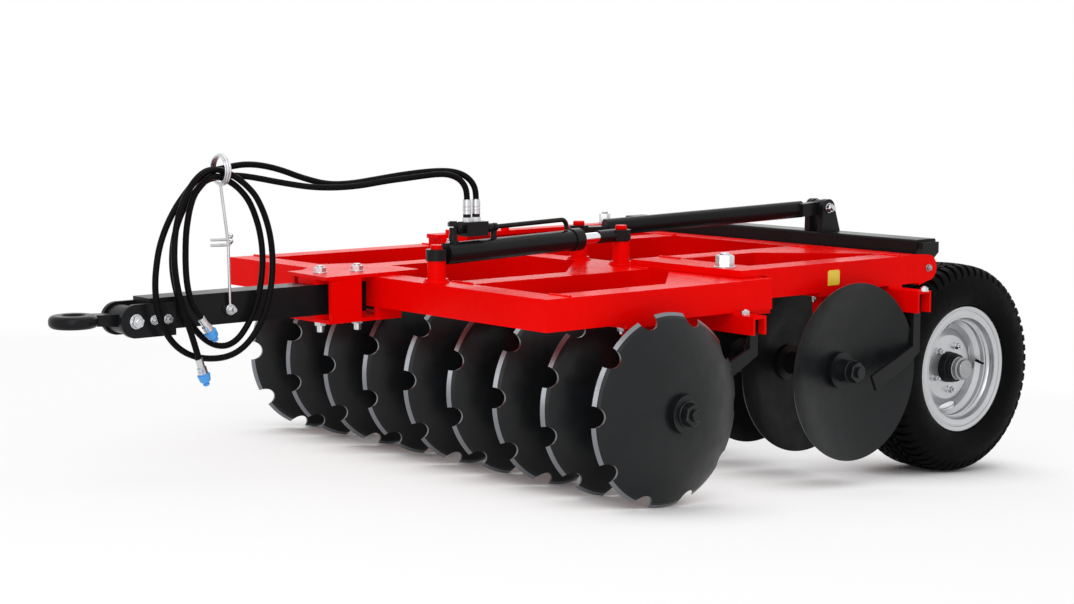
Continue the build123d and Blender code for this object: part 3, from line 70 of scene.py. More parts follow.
# Name, middle Y and the side of the wheel that faces the machine
WHEELS = (("left", 206.0, 1), ("right", 1579.0, -1))
PIVOT = (1830.0, -24.0)
STRUT_PIN = (1865.0, 620.0, 160.0)
HOSE_DIAMETER = 0.020
EYE_TOP = 36.6
CYLINDER_EYES = ((50.0, 608.0, 88.3), (905.0, 672.0, 104.3))
ROD_SOCKET_BACK = 116.0
DISC_BEVEL_RADIUS = 0.2952
DISC_WALL_RADIUS = 0.25

HOSE_A_ROUTE = [
    (184, 620, 259), (184, 620, 286), (173, 624, 313), (153, 632, 332), (127, 642, 342),
    (96, 654, 344), (56, 670, 340), (4, 693, 333), (-63, 727, 324), (-150, 778, 306),
    (-258, 832, 304), (-354, 884, 322), (-432, 916, 340), (-490, 929, 349), (-535, 931, 348),
    (-575, 927, 345), (-612, 922, 336), (-646, 919, 307), (-684, 916, 268), (-710, 914, 224),
    (-728, 912, 178), (-738, 911, 131), (-741, 910, 83), (-737, 909, 37), (-727, 908, -8),
    (-711, 908, -52), (-688, 909, -93), (-659, 910, -131), (-626, 911, -162), (-589, 911, -182),
    (-550, 910, -186), (-513, 909, -170), (-483, 908, -138), (-456, 907, -95), (-437, 906, -48),
    (-424, 905, 5), (-417, 905, 59), (-417, 905, 113), (-425, 905, 168), (-441, 905, 221),
    (-465, 905, 272), (-500, 907, 311), (-538, 908, 336), (-576, 906, 350), (-614, 890, 350),
    (-649, 879, 328), (-675, 878, 301), (-693, 874, 265), (-705, 871, 224), (-714, 868, 180),
    (-718, 866, 133), (-720, 864, 85), (-719, 862, 39), (-713, 860, -5), (-699, 858, -46),
    (-674, 857, -82),
]
HOSE_B_ROUTE = [
    (221, 620, 259), (221, 620, 287), (212, 627, 314), (195, 640, 335), (172, 656, 347),
    (145, 673, 352), (110, 692, 352), (62, 715, 348), (0, 742, 340), (-72, 776, 327),
    (-138, 812, 315), (-206, 848, 313), (-276, 886, 335), (-341, 908, 362), (-402, 922, 378),
    (-458, 930, 383), (-508, 932, 378), (-550, 931, 371), (-589, 925, 366), (-627, 909, 355),
    (-661, 903, 334), (-695, 896, 304), (-729, 890, 269), (-760, 884, 228), (-785, 880, 184),
    (-804, 877, 137), (-815, 875, 87), (-822, 873, 37), (-821, 872, -13), (-813, 872, -62),
    (-796, 873, -106), (-771, 875, -146), (-738, 878, -177), (-698, 881, -200), (-654, 883, -213),
    (-609, 884, -218), (-565, 884, -216), (-522, 884, -202), (-485, 883, -175), (-454, 882, -138),
    (-429, 881, -94), (-411, 880, -44), (-400, 880, 10), (-395, 880, 64), (-397, 880, 118),
    (-406, 880, 173), (-423, 880, 226), (-446, 881, 273), (-464, 882, 298), (-499, 891, 334),
    (-536, 902, 358), (-574, 903, 371), (-623, 885, 372), (-662, 870, 357), (-694, 859, 333),
    (-719, 853, 301), (-739, 850, 265), (-754, 848, 226), (-764, 847, 183), (-769, 846, 137),
    (-770, 845, 91), (-765, 845, 44), (-756, 845, -2), (-743, 846, -46), (-728, 847, -89),
    (-713, 848, -131), (-700, 849, -170), (-688, 850, -207),
]


# ---------------------------------------------------------------- camera, light and floor

WORLD_LIGHT = 0.74
FLOOR_HALF = 60.0
FLOOR_NEAR = 2.6
FLOOR_FAR = 5.0
# FLOOR_LIFT is the share of white glow mixed into the open floor, painted light over its shadows;
# CONTACT_REACH and CONTACT_OPEN set how near the machine ambient occlusion takes that glow away, a painted
# contact shadow.
FLOOR_LIFT = 0.70
CONTACT_REACH = 0.30
CONTACT_OPEN = 0.55


def make_camera():
    """The camera at the photograph's place, with a long lens."""
    data = bpy.data.cameras.new("camera")
    data.sensor_width = 36.0
    data.lens = 70.0
    data.clip_end = 200.0
    camera = bpy.data.objects.new("camera", data)
    bpy.context.scene.collection.objects.link(camera)
    forward = Vector((0.63580, 0.76334, -0.11432)).normalized()
    right = forward.cross(Vector((0, 0, 1))).normalized()
    up = right.cross(forward)
    turn = Matrix((right, up, -forward)).transposed().to_4x4()
    camera.matrix_world = STANCE @ Matrix.Translation((-3.973, -4.726, 0.704)) @ turn
    bpy.context.scene.camera = camera


def make_lamp(name, place, size, energy):
    """A large soft lamp that looks at the machine's middle."""
    data = bpy.data.lights.new(name, "AREA")
    data.shape = "SQUARE"
    data.size = size
    data.energy = energy
    lamp = bpy.data.objects.new(name, data)
    lamp.location = place
    aim = Vector((0, 0, 0.4)) - Vector(place)
    lamp.rotation_euler = aim.to_track_quat("-Z", "Y").to_euler()
    bpy.context.scene.collection.objects.link(lamp)


def seen_strength(tree, light):
    """Strength of a white background: full where seen or mirrored, and a plain level as light."""
    path = tree.nodes.new("ShaderNodeLightPath")
    strength = None
    for ray in ("Is Camera Ray", "Is Glossy Ray", "Is Transmission Ray"):
        higher = tree.nodes.new("ShaderNodeMath")
        higher.operation = "MAXIMUM"
        higher.inputs[1].default_value = light
        if strength:
            tree.links.new(strength, higher.inputs[1])
        tree.links.new(path.outputs[ray], higher.inputs[0])
        strength = higher.outputs[0]
    return strength


def make_world():
    """Even pale light, and a white background for the camera and for reflections."""
    world = bpy.data.worlds.new("studio")
    bpy.context.scene.world = world
    world.use_nodes = True
    background = world.node_tree.nodes["Background"]
    background.inputs["Color"].default_value = (1, 1, 1, 1)
    strength = seen_strength(world.node_tree, WORLD_LIGHT)
    world.node_tree.links.new(strength, background.inputs["Strength"])


def make_floor():
    """A pale floor that fades into the background. Where the machine is not close above it, a share of white
    glow is mixed in, painted light that lightens its shadows; close under the machine ambient occlusion
    takes the glow away, a painted contact shadow.
    """
    half = FLOOR_HALF
    mesh = bpy.data.meshes.new("floor")
    corners = [(-half, -half, 0), (half, -half, 0), (half, half, 0), (-half, half, 0)]
    mesh.from_pydata(corners, [], [(0, 1, 2, 3)])
    floor = bpy.data.objects.new("floor", mesh)
    bpy.context.scene.collection.objects.link(floor)
    material = bpy.data.materials.new("floor_white")
    material.use_nodes = True
    tree = material.node_tree
    shader = tree.nodes["Principled BSDF"]
    shader.inputs["Base Color"].default_value = (0.93, 0.93, 0.93, 1)
    shader.inputs["Roughness"].default_value = 0.9
    shader.inputs["Specular IOR Level"].default_value = 0.1
    away = tree.nodes.new("ShaderNodeVectorMath")
    away.operation = "LENGTH"
    tree.links.new(tree.nodes.new("ShaderNodeTexCoord").outputs["Object"], away.inputs[0])
    fade = tree.nodes.new("ShaderNodeMapRange")
    fade.interpolation_type = "SMOOTHSTEP"
    fade.inputs["From Min"].default_value = FLOOR_NEAR
    fade.inputs["From Max"].default_value = FLOOR_FAR
    tree.links.new(away.outputs["Value"], fade.inputs["Value"])
    white = tree.nodes.new("ShaderNodeEmission")
    white.inputs["Color"].default_value = (1, 1, 1, 1)
    tree.links.new(seen_strength(tree, WORLD_LIGHT), white.inputs["Strength"])
    # Painted contact shadow: ambient occlusion takes the white glow away where the machine nearly touches
    # the floor.
    contact_shade_ao = tree.nodes.new("ShaderNodeAmbientOcclusion")
    contact_shade_ao.inputs["Distance"].default_value = CONTACT_REACH
    lift = tree.nodes.new("ShaderNodeMapRange")
    lift.inputs["From Min"].default_value = CONTACT_OPEN
    lift.inputs["To Max"].default_value = FLOOR_LIFT
    tree.links.new(contact_shade_ao.outputs["AO"], lift.inputs["Value"])
    lighter = tree.nodes.new("ShaderNodeMath")
    lighter.operation = "MAXIMUM"
    tree.links.new(fade.outputs["Result"], lighter.inputs[0])
    tree.links.new(lift.outputs["Result"], lighter.inputs[1])
    mix = tree.nodes.new("ShaderNodeMixShader")
    tree.links.new(lighter.outputs[0], mix.inputs[0])
    tree.links.new(shader.outputs[0], mix.inputs[1])
    tree.links.new(white.outputs[0], mix.inputs[2])
    tree.links.new(mix.outputs[0], tree.nodes["Material Output"].inputs["Surface"])
    mesh.materials.append(material)


make_camera()
make_world()
make_floor()
make_lamp("key_lamp", (-4.5, -4.5, 5.0), 4.0, 130)
make_lamp("top_lamp", (0.5, 0.5, 6.0), 5.0, 60)
make_lamp("front_lamp", (-5.2, -4.6, 0.9), 2.2, 45)
make_lamp("back_lamp", (4.0, 4.5, 4.0), 4.0, 40)
bpy.context.scene.view_settings.view_transform = "Standard"


# ---------------------------------------------------------------- materials

NOISE_LOW = 0.3
NOISE_HIGH = 0.7


class Paint:
    """A procedural material being built: one principled shader and its node tree."""

    def __init__(self, name, colour, roughness, metallic=0.0, coat=0.0, specular=0.5):
        self.material = bpy.data.materials.new(name)
        self.material.use_nodes = True
        self.material.diffuse_color = (*colour, 1)
        self.tree = self.material.node_tree
        self.shader = self.tree.nodes["Principled BSDF"]
        self.colour = colour
        self.roughness = roughness
        self.shader.inputs["Base Color"].default_value = (*colour, 1)
        self.shader.inputs["Roughness"].default_value = roughness
        self.shader.inputs["Metallic"].default_value = metallic
        self.shader.inputs["Coat Weight"].default_value = coat
        self.shader.inputs["Coat Roughness"].default_value = 0.08
        self.shader.inputs["Specular IOR Level"].default_value = specular
        where = self.tree.nodes.new("ShaderNodeTexCoord")
        self.place = where.outputs["Object"]
        self.normal = where.outputs["Normal"]

    def node(self, kind, **values):
        """A new node with its inputs or properties set by name."""
        made = self.tree.nodes.new(kind)
        for key, value in values.items():
            if hasattr(made, key):
                setattr(made, key, value)
            else:
                made.inputs[key.replace("_", " ").title()].default_value = value
        return made

    def link(self, source, target):
        """Joins an output to an input."""
        self.tree.links.new(source, target)

    def maths(self, operation, first, second=0.0):
        """A sum of two sources or numbers."""
        made = self.node("ShaderNodeMath", operation=operation)
        for socket, value in zip(made.inputs, (first, second)):
            if isinstance(value, float):
                socket.default_value = value
            else:
                self.link(value, socket)
        return made.outputs[0]

    def noise(self, scale, detail=3.0):
        """Noise in metres of the object's own space."""
        made = self.node("ShaderNodeTexNoise", scale=scale, detail=detail)
        self.link(self.place, made.inputs["Vector"])
        return made.outputs["Fac"]

    def spread(self, source, low, high):
        """A source's middle part, where noise mostly lies, stretched between low and high."""
        made = self.node("ShaderNodeMapRange")
        made.inputs["From Min"].default_value = NOISE_LOW
        made.inputs["From Max"].default_value = NOISE_HIGH
        made.inputs["To Min"].default_value = low
        made.inputs["To Max"].default_value = high
        self.link(source, made.inputs["Value"])
        return made.outputs["Result"]

    def tint(self, source, other, amount):
        """Base colour that varies towards another colour by a 0 to 1 source."""
        ramp = self.node("ShaderNodeMix", data_type="RGBA")
        current = self.shader.inputs["Base Color"]
        if current.is_linked:
            self.link(current.links[0].from_socket, ramp.inputs[6])
        else:
            ramp.inputs[6].default_value = current.default_value[:]
        ramp.inputs[7].default_value = (*other, 1)
        self.link(self.spread(source, 0.0, amount), ramp.inputs[0])
        self.link(ramp.outputs[2], current)

    def bare(self, mask, colour, roughness):
        """Bare metal where a mask is 1."""
        self.tint(mask, colour, 1.0)
        share = self.spread(mask, 0.0, 1.0)
        self.link(share, self.shader.inputs["Metallic"])
        mix = self.node("ShaderNodeMix", data_type="FLOAT")
        current = self.shader.inputs["Roughness"]
        mix.inputs[2].default_value = self.roughness
        if current.is_linked:
            self.link(current.links[0].from_socket, mix.inputs[2])
        mix.inputs[3].default_value = roughness
        self.link(share, mix.inputs[0])
        self.link(mix.outputs[0], current)

    def rough(self, source, change):
        """Roughness that varies about its set value."""
        low = self.roughness - change
        self.link(self.spread(source, low, self.roughness + change), self.shader.inputs["Roughness"])

    def bump(self, source, height):
        """Fine relief of a height in metres."""
        made = self.node("ShaderNodeBump")
        made.inputs["Strength"].default_value = 1.0
        made.inputs["Distance"].default_value = height
        self.link(source, made.inputs["Height"])
        current = self.shader.inputs["Normal"]
        if current.is_linked:
            self.link(current.links[0].from_socket, made.inputs["Normal"])
        self.link(made.outputs["Normal"], current)

    def radius_about(self, gang):
        """Distance from a gang's or wheel's axle, in metres."""
        centre = TO_ROW @ Vector((gang[0], 0, gang[1]))
        shift = self.node("ShaderNodeVectorMath", operation="SUBTRACT")
        shift.inputs[1].default_value = centre
        self.link(self.place, shift.inputs[0])
        flat = self.node("ShaderNodeVectorMath", operation="MULTIPLY")
        flat.inputs[1].default_value = (1, 0, 1)
        self.link(shift.outputs[0], flat.inputs[0])
        length = self.node("ShaderNodeVectorMath", operation="LENGTH")
        self.link(flat.outputs[0], length.inputs[0])
        return length.outputs["Value"]

    def rings(self, radius, count_per_metre, height):
        """Fine turned rings about an axle, as relief."""
        scaled = self.node("ShaderNodeMath", operation="MULTIPLY")
        scaled.inputs[1].default_value = count_per_metre
        self.link(radius, scaled.inputs[0])
        made = self.node("ShaderNodeTexNoise", noise_dimensions="1D", scale=1.0, detail=2.0)
        self.link(scaled.outputs[0], made.inputs["W"])
        self.bump(made.outputs["Fac"], height)
        return made.outputs["Fac"]


def gloss_paint(name, colour, shade, roughness=0.28, coat=0.6, specular=0.5):
    """Sprayed gloss paint with a faint orange peel and slow changes of tone."""
    paint = Paint(name, colour, roughness, coat=coat, specular=specular)
    paint.tint(paint.noise(3.0), shade, 0.35)
    paint.tint(paint.noise(55.0, 6.0), shade, 0.12)
    paint.rough(paint.noise(9.0, 5.0), 0.05)
    paint.bump(paint.noise(240.0, 2.0), 0.00012)
    return paint


def ground_edge(paint, radius, bulge):
    """A mask of a disc's ground bevel, on its bulging side, and of its rim and notch walls."""
    parts = paint.node("ShaderNodeSeparateXYZ")
    paint.link(paint.normal, parts.inputs[0])
    across = parts.outputs["Y"]
    outside = paint.maths("GREATER_THAN", paint.maths("MULTIPLY", across, bulge), 0.3)
    bevel = paint.maths("MULTIPLY", paint.maths("GREATER_THAN", radius, DISC_BEVEL_RADIUS), outside)
    level = paint.maths("LESS_THAN", paint.maths("ABSOLUTE", across), 0.3)
    walls = paint.maths("MULTIPLY", paint.maths("GREATER_THAN", radius, DISC_WALL_RADIUS), level)
    return paint.maths("MAXIMUM", bevel, walls)


def disc_paint(name, gang, bulge=0.0):
    """Dark painted steel with the faint rings of its spinning; a disc's edge is ground bright."""
    paint = Paint(name, (0.0052, 0.0060, 0.0070), 0.37, specular=0.27)
    radius = paint.radius_about((gang[0], gang[2]))
    rings = paint.rings(radius, 700.0, 0.00005)
    paint.tint(rings, (0.011, 0.012, 0.0135), 0.5)
    paint.tint(paint.noise(14.0, 6.0), (0.003, 0.0035, 0.004), 0.6)
    paint.rough(paint.noise(22.0, 6.0), 0.06)
    paint.bump(paint.noise(7.0, 2.0), 0.0035)
    paint.bump(paint.noise(160.0, 3.0), 0.00008)
    if bulge:
        paint.bare(ground_edge(paint, radius, bulge), (0.21, 0.22, 0.235), 0.34)
    return paint


def rod_paint():
    """Hard chrome on the rod, and black paint from its socket on."""
    paint = Paint("chromed_rod", (0.0075, 0.008, 0.009), 0.30, specular=0.15)
    eyes = [TO_ROW @ Vector(eye) for eye in CYLINDER_EYES]
    along = (eyes[1] - eyes[0]).normalized()
    shift = paint.node("ShaderNodeVectorMath", operation="SUBTRACT")
    shift.inputs[1].default_value = eyes[1] - along * (ROD_SOCKET_BACK / 1000)
    paint.link(paint.place, shift.inputs[0])
    reach = paint.node("ShaderNodeVectorMath", operation="DOT_PRODUCT")
    reach.inputs[1].default_value = along
    paint.link(shift.outputs[0], reach.inputs[0])
    paint.tint(paint.noise(30.0, 5.0), (0.004, 0.004, 0.005), 0.4)
    paint.rough(paint.noise(90.0, 4.0), 0.04)
    paint.bump(paint.noise(300.0, 3.0), 0.00004)
    paint.bare(paint.maths("LESS_THAN", reach.outputs["Value"], 0.0), (0.80, 0.81, 0.83), 0.12)
    return paint


def bright_metal(name, colour, roughness, grain):
    """Plated or polished steel with fine grain and slight staining."""
    paint = Paint(name, colour, roughness, metallic=1.0)
    paint.tint(paint.noise(30.0, 5.0), tuple(0.78 * c for c in colour), 0.6)
    paint.rough(paint.noise(60.0, 4.0), min(0.05, roughness * 0.4))
    paint.bump(paint.noise(grain, 3.0), 0.00002)
    return paint


def silver_paint():
    """Smooth satin silver paint on the rims, a little darker in patches."""
    paint = Paint("rim_silver_paint", (0.56, 0.57, 0.585), 0.31, metallic=0.85)
    paint.tint(paint.noise(6.0, 4.0), (0.46, 0.47, 0.485), 0.5)
    paint.rough(paint.noise(45.0, 3.0), 0.03)
    paint.bump(paint.noise(500.0, 2.0), 0.00001)
    return paint


def rubber(name, colour, roughness, relief):
    """Dull black rubber with a fine moulded grain and a little bloom."""
    paint = Paint(name, colour, roughness, specular=0.045)
    paint.tint(paint.noise(7.0, 6.0), tuple(1.9 * c for c in colour), 0.5)
    paint.tint(paint.noise(70.0, 5.0), tuple(0.5 * c for c in colour), 0.4)
    paint.rough(paint.noise(40.0, 5.0), 0.08)
    paint.bump(paint.noise(600.0, 3.0), relief)
    return paint


MATERIALS = {
    "red": gloss_paint("red_gloss", (0.88, 0.0015, 0.0005), (0.70, 0.001, 0.0005), 0.26, 0.0, 0.03),
    "black": gloss_paint("black_gloss", (0.0085, 0.009, 0.010), (0.005, 0.005, 0.006), 0.30, 0.0, 0.13),
    "scraper": gloss_paint("black_satin", (0.009, 0.0095, 0.0105), (0.005, 0.005, 0.006), 0.40, 0.0, 0.15),
    "blue": gloss_paint("blue_plastic", (0.060, 0.36, 0.85), (0.035, 0.25, 0.72), 0.35, 0.1),
    "yellow": gloss_paint("yellow_plate", (0.93, 0.66, 0.02), (0.85, 0.55, 0.01), 0.35, 0.3),
    "front_disc": disc_paint("front_disc_paint", FRONT_GANG, -1.0),
    "rear_disc": disc_paint("rear_disc_paint", REAR_GANG, 1.0),
    "front_gang": disc_paint("front_gang_paint", FRONT_GANG),
    "rear_gang": disc_paint("rear_gang_paint", REAR_GANG),
    "rod": rod_paint(),
    "zinc": bright_metal("zinc_plate", (0.66, 0.67, 0.69), 0.30, 420.0),
    "steel": bright_metal("plain_steel", (0.36, 0.37, 0.38), 0.26, 420.0),
    "silver": silver_paint(),
    "tyre": rubber("tyre_rubber", (0.0018, 0.0018, 0.0019), 0.55, 0.00012),
    "hose": rubber("hose_cover", (0.0040, 0.0040, 0.0045), 0.34, 0.00006),
}
MATERIALS = {name: paint.material for name, paint in MATERIALS.items()}


# ---------------------------------------------------------------- drawing helpers

def axes(origin, direction, turn=0.0):
    """A local frame at a point, with its Z along a direction."""
    spin = Matrix.Rotation(math.radians(turn), 4, "Z")
    quat = Vector(direction).to_track_quat("Z", "Y")
    return Matrix.Translation(origin) @ quat.to_matrix().to_4x4() @ spin


def turned(profile, sides):
    """Points and faces of a profile of (radius, height) turned about Z."""
    points = []
    rings = []
    for radius, height in profile:
        if radius < 0.001:
            rings.append([len(points)])
            points.append((0, 0, height))
            continue
        rings.append(list(range(len(points), len(points) + sides)))
        for index in range(sides):
            angle = 2 * math.pi * index / sides
            points.append((radius * math.cos(angle), radius * math.sin(angle), height))
    faces = []
    for low, high in zip(rings, rings[1:]):
        for index in range(sides):
            after = (index + 1) % sides
            if len(low) == 1:
                faces.append((low[0], high[after], high[index]))
            elif len(high) == 1:
                faces.append((low[index], low[after], high[0]))
            else:
                faces.append((low[index], low[after], high[after], high[index]))
    return points, faces


def tube_faces(count, sides, closed):
    """Faces between rings of points that follow one another."""
    faces = []
    for ring in range(count if closed else count - 1):
        after = (ring + 1) % count
        for index in range(sides):
            beside = (index + 1) % sides
            faces.append((ring * sides + index, ring * sides + beside,
                          after * sides + beside, after * sides + index))
    if not closed:
        faces.append(tuple(reversed(range(sides))))
        faces.append(tuple((count - 1) * sides + index for index in range(sides)))
    return faces


def swept(path, radii, sides, closed=False):
    """A round bar along a path, with a radius for each point."""
    path = [Vector(p) for p in path]
    points = []
    across = None
    for index, here in enumerate(path):
        if closed:
            along = path[(index + 1) % len(path)] - path[index - 1]
        else:
            along = path[min(index + 1, len(path) - 1)] - path[max(index - 1, 0)]
        along.normalize()
        if across is None:
            across = along.orthogonal()
        across = (across - along * across.dot(along)).normalized()
        other = along.cross(across)
        for side in range(sides):
            angle = 2 * math.pi * side / sides
            points.append(here + (across * math.cos(angle) + other * math.sin(angle)) * radii[index])
    return points, tube_faces(len(path), sides, closed)


ARC_STEPS = 5


def rounded(corners, radius):
    """A path through corners with an arc at each inner one."""
    corners = [Vector(c) for c in corners]
    path = [corners[0]]
    for before, here, after in zip(corners, corners[1:], corners[2:]):
        first = (before - here).normalized()
        second = (after - here).normalized()
        half = first.angle(second) / 2
        back = radius / math.tan(half)
        centre = here + (first + second).normalized() * (radius / math.sin(half))
        start = here + first * back - centre
        end = here + second * back - centre
        path.append(centre + start)
        path += [centre + start.slerp(end, step / ARC_STEPS) for step in range(1, ARC_STEPS)]
        path.append(centre + end)
    path.append(corners[-1])
    return path


def slab(outline, low, high, chamfer=0.0):
    """A flat plate between two heights, its top edge chamfered."""
    count = len(outline)
    centre = Vector((sum(x for x, _ in outline) / count, sum(y for _, y in outline) / count))
    rings = [(low, 0.0), (high - chamfer, 0.0)]
    if chamfer:
        rings.append((high, chamfer))
    points = []
    for height, inset in rings:
        for x, y in outline:
            away = Vector((x, y)) - centre
            point = centre + away * (1 - inset / max(away.length, 1.0))
            points.append((point.x, point.y, height))
    faces = [tuple(reversed(range(count)))]
    for ring in range(len(rings) - 1):
        for index in range(count):
            beside = (index + 1) % count
            faces.append((ring * count + index, ring * count + beside,
                          (ring + 1) * count + beside, (ring + 1) * count + index))
    faces.append(tuple((len(rings) - 1) * count + index for index in range(count)))
    return points, faces


class Form:
    """Points and faces of one piece, gathered in the working frame."""

    def __init__(self):
        self.points = []
        self.faces = []

    def add(self, shape, place=None):
        """Adds a shape, moved to a local frame."""
        points, faces = shape
        base = len(self.points)
        self.points += [place @ Vector(p) if place else Vector(p) for p in points]
        self.faces += [[base + index for index in face] for face in faces]

    def piece(self, name, finish, body, sharp=38.0):
        """The finished object in the row frame, riding on its body."""
        mesh = bpy.data.meshes.new(name)
        mesh.from_pydata([TO_ROW @ p for p in self.points], [], self.faces)
        mesh.validate()
        mesh.materials.append(MATERIALS[finish])
        made = bpy.data.objects.new(name, mesh)
        bpy.context.scene.collection.objects.link(made)
        mesh.shade_smooth()
        mesh.set_sharp_from_angle(angle=math.radians(sharp))
        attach(made, body)
        return made


def hex_bolt(form, origin, direction, size, turn=0.0, stud=0.0):
    """A hexagon head or nut of a thread size on its washer, with a stud end if it has one."""
    place = axes(origin, direction, turn)
    base = 0.16 * size
    washer = [(0, 0), (size, 0), (size, base * 0.8), (0.97 * size, base), (0, base)]
    form.add(turned(washer, 28), place)
    corner = 0.87 * size
    top = base + 0.65 * size
    head = [(0, base), (corner, base), (corner, top - 0.08 * size), (corner * 0.9, top), (0, top)]
    form.add(turned(head, 6), place)
    if stud:
        end = top + stud
        tip = [(0, top), (0.5 * size, top), (0.5 * size, end - 1.5), (0.42 * size, end), (0, end)]
        form.add(turned(tip, 16), place)


WELD_STEP = 4.5


def weld(form, path, radius, rng):
    """A rippled weld bead along straight runs."""
    beads = []
    for start, end in zip(path, path[1:]):
        start = Vector(start)
        run = Vector(end) - start
        count = max(2, int(run.length / WELD_STEP))
        beads += [start + run * (index / count) for index in range(count)]
    beads.append(Vector(path[-1]))
    wobble = radius * 0.10
    path_points = [p + Vector([rng.uniform(-wobble, wobble) for _ in range(3)]) for p in beads]
    radii = [radius * (1.0 + 0.16 * (-1) ** index + rng.uniform(-0.05, 0.05)) for index in range(len(beads))]
    form.add(swept(path_points, radii, 8))


# ---------------------------------------------------------------- hoses with their ends

def make_hose(name, route):
    """A hose on one smooth spline through its route."""
    curve = bpy.data.curves.new(name, "CURVE")
    curve.dimensions = "3D"
    spline = curve.splines.new("NURBS")
    spline.points.add(len(route) - 1)
    for point, place in zip(spline.points, route):
        point.co = (*(TO_ROW @ Vector(place)), 1)
    spline.order_u = 3
    spline.use_endpoint_u = True
    curve.resolution_u = 6
    curve.bevel_depth = HOSE_DIAMETER / 2
    curve.bevel_resolution = 4
    curve.use_fill_caps = True
    curve.materials.append(MATERIALS["hose"])
    made = bpy.data.objects.new(name, curve)
    bpy.context.scene.collection.objects.link(made)
    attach(made, "front_frame")
    return made


COUPLING_PROFILE = [
    (0, 0), (10.6, 0), (12.2, 1.2), (12.2, 27), (11, 28.5), (11, 30), (15.2, 31), (15.2, 39),
    (14, 40), (14, 41), (15.6, 42), (15.6, 50), (13.5, 51), (13, 55), (0, 55),
]
CAP_PROFILE = [
    (0, 53), (18.5, 53), (20.4, 54.2), (20.4, 59), (19.2, 61), (17.6, 73), (15, 78), (9, 79.5), (8, 82.5),
    (10.2, 84.5), (10.6, 88), (8, 91.5), (0, 92),
]
CAP_STRAP = [(19, 0, 57), (26, 2, 52), (28, 3, 44), (24, 2, 37), (16, 0, 34)]
for letter, route, length in (("a", HOSE_A_ROUTE, 2.751), ("b", HOSE_B_ROUTE, 3.247)):
    end = Vector(route[-1])
    along = end - Vector(route[-2])
    coupling = Form()
    coupling.add(turned(COUPLING_PROFILE, 32), axes(end, along))
    coupling = coupling.piece(f"coupling_{letter}", "zinc", "front_frame")
    cap = Form()
    cap.add(turned(CAP_PROFILE, 32), axes(end, along))
    cap.add(swept(CAP_STRAP, [1.7] * len(CAP_STRAP), 8), axes(end, along, 205))
    cap = cap.piece(f"coupling_cap_{letter}", "blue", "front_frame")
    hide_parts("hose_couplings")
    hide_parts("coupling_caps")
    hose = make_hose(f"hydraulic_hose_{letter}", route)
    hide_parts(f"hose_{letter}")


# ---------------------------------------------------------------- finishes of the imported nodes

NODE_FINISH = {
    "black": ["drawbar_tube", "hitch_cheeks", "tow_eye", "cylinder_barrel", "oil_fittings", "strut",
              "rockshaft_beam", "wheel_arm_left", "wheel_arm_right", "hub_left", "hub_right"],
    "scraper": ["front_scrapers", "rear_scrapers"],
    "front_disc": ["front_discs"],
    "rear_disc": ["rear_discs"],
    "front_gang": ["front_spools"],
    "rear_gang": ["rear_spools"],
    "rod": ["cylinder_rod"],
    "zinc": ["hose_holder"],
    "silver": ["rim_left", "rim_right"],
    "tyre": ["tyre_left", "tyre_right"],
}
finish_of = {node: finish for finish, nodes in NODE_FINISH.items() for node in nodes}
EDGE_ROUNDS = {
    "front_beam": 7, "front_cross_beam": 7, "front_left_beam": 7, "front_inner_left_beam": 7,
    "front_inner_right_beam": 7, "front_right_beam": 7, "rear_cross_beam": 7, "rear_left_beam": 7,
    "rear_inner_left_beam": 7, "rear_inner_right_beam": 7, "rear_right_beam": 7, "drawbar_tube": 5,
    "front_gussets": 1.5, "rear_gusset": 1.5, "hinge_plates": 2, "drawbar_bracket": 1.5, "hitch_cheeks": 1.5,
    "adjusting_bar": 1.5, "pivot_ear_left": 1.5, "pivot_ear_right": 1.5, "wheel_arm_left": 2.5,
    "wheel_arm_right": 2.5, "front_scrapers": 1.2, "rear_scrapers": 1.2,
    "front_scraper_bar": 1.5, "rear_scraper_bar": 1.5,
}
for node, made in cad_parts.items():
    made.data.materials.clear()
    made.data.materials.append(MATERIALS[finish_of.get(node, "red")])
    if node in EDGE_ROUNDS:
        bevel = made.modifiers.new("edge_round", "BEVEL")
        bevel.width = EDGE_ROUNDS[node] / 1000
        bevel.segments = 3
        bevel.limit_method = "ANGLE"
        bevel.angle_limit = math.radians(50)
        bevel.use_clamp_overlap = EDGE_ROUNDS[node] < 5
        bevel.harden_normals = True


# ---------------------------------------------------------------- welds of the frames

POSTS = ((50, 608), (905, 672), (905, 897))
POST_RING = 38.0


def tube_end(x, y_low, top_z, outer=None):
    """The corners of a tube's end, once round, or without the face that looks outward."""
    low, high = y_low, y_low + TUBE
    bottom = top_z - TUBE
    if outer == "left":
        return [(x, low + 8, top_z), (x, high, top_z), (x, high, bottom)]
    if outer == "right":
        return [(x, high - 8, top_z), (x, low, top_z), (x, low, bottom)]
    return [(x, low, top_z), (x, high, top_z), (x, high, bottom), (x, low, bottom), (x, low, top_z)]


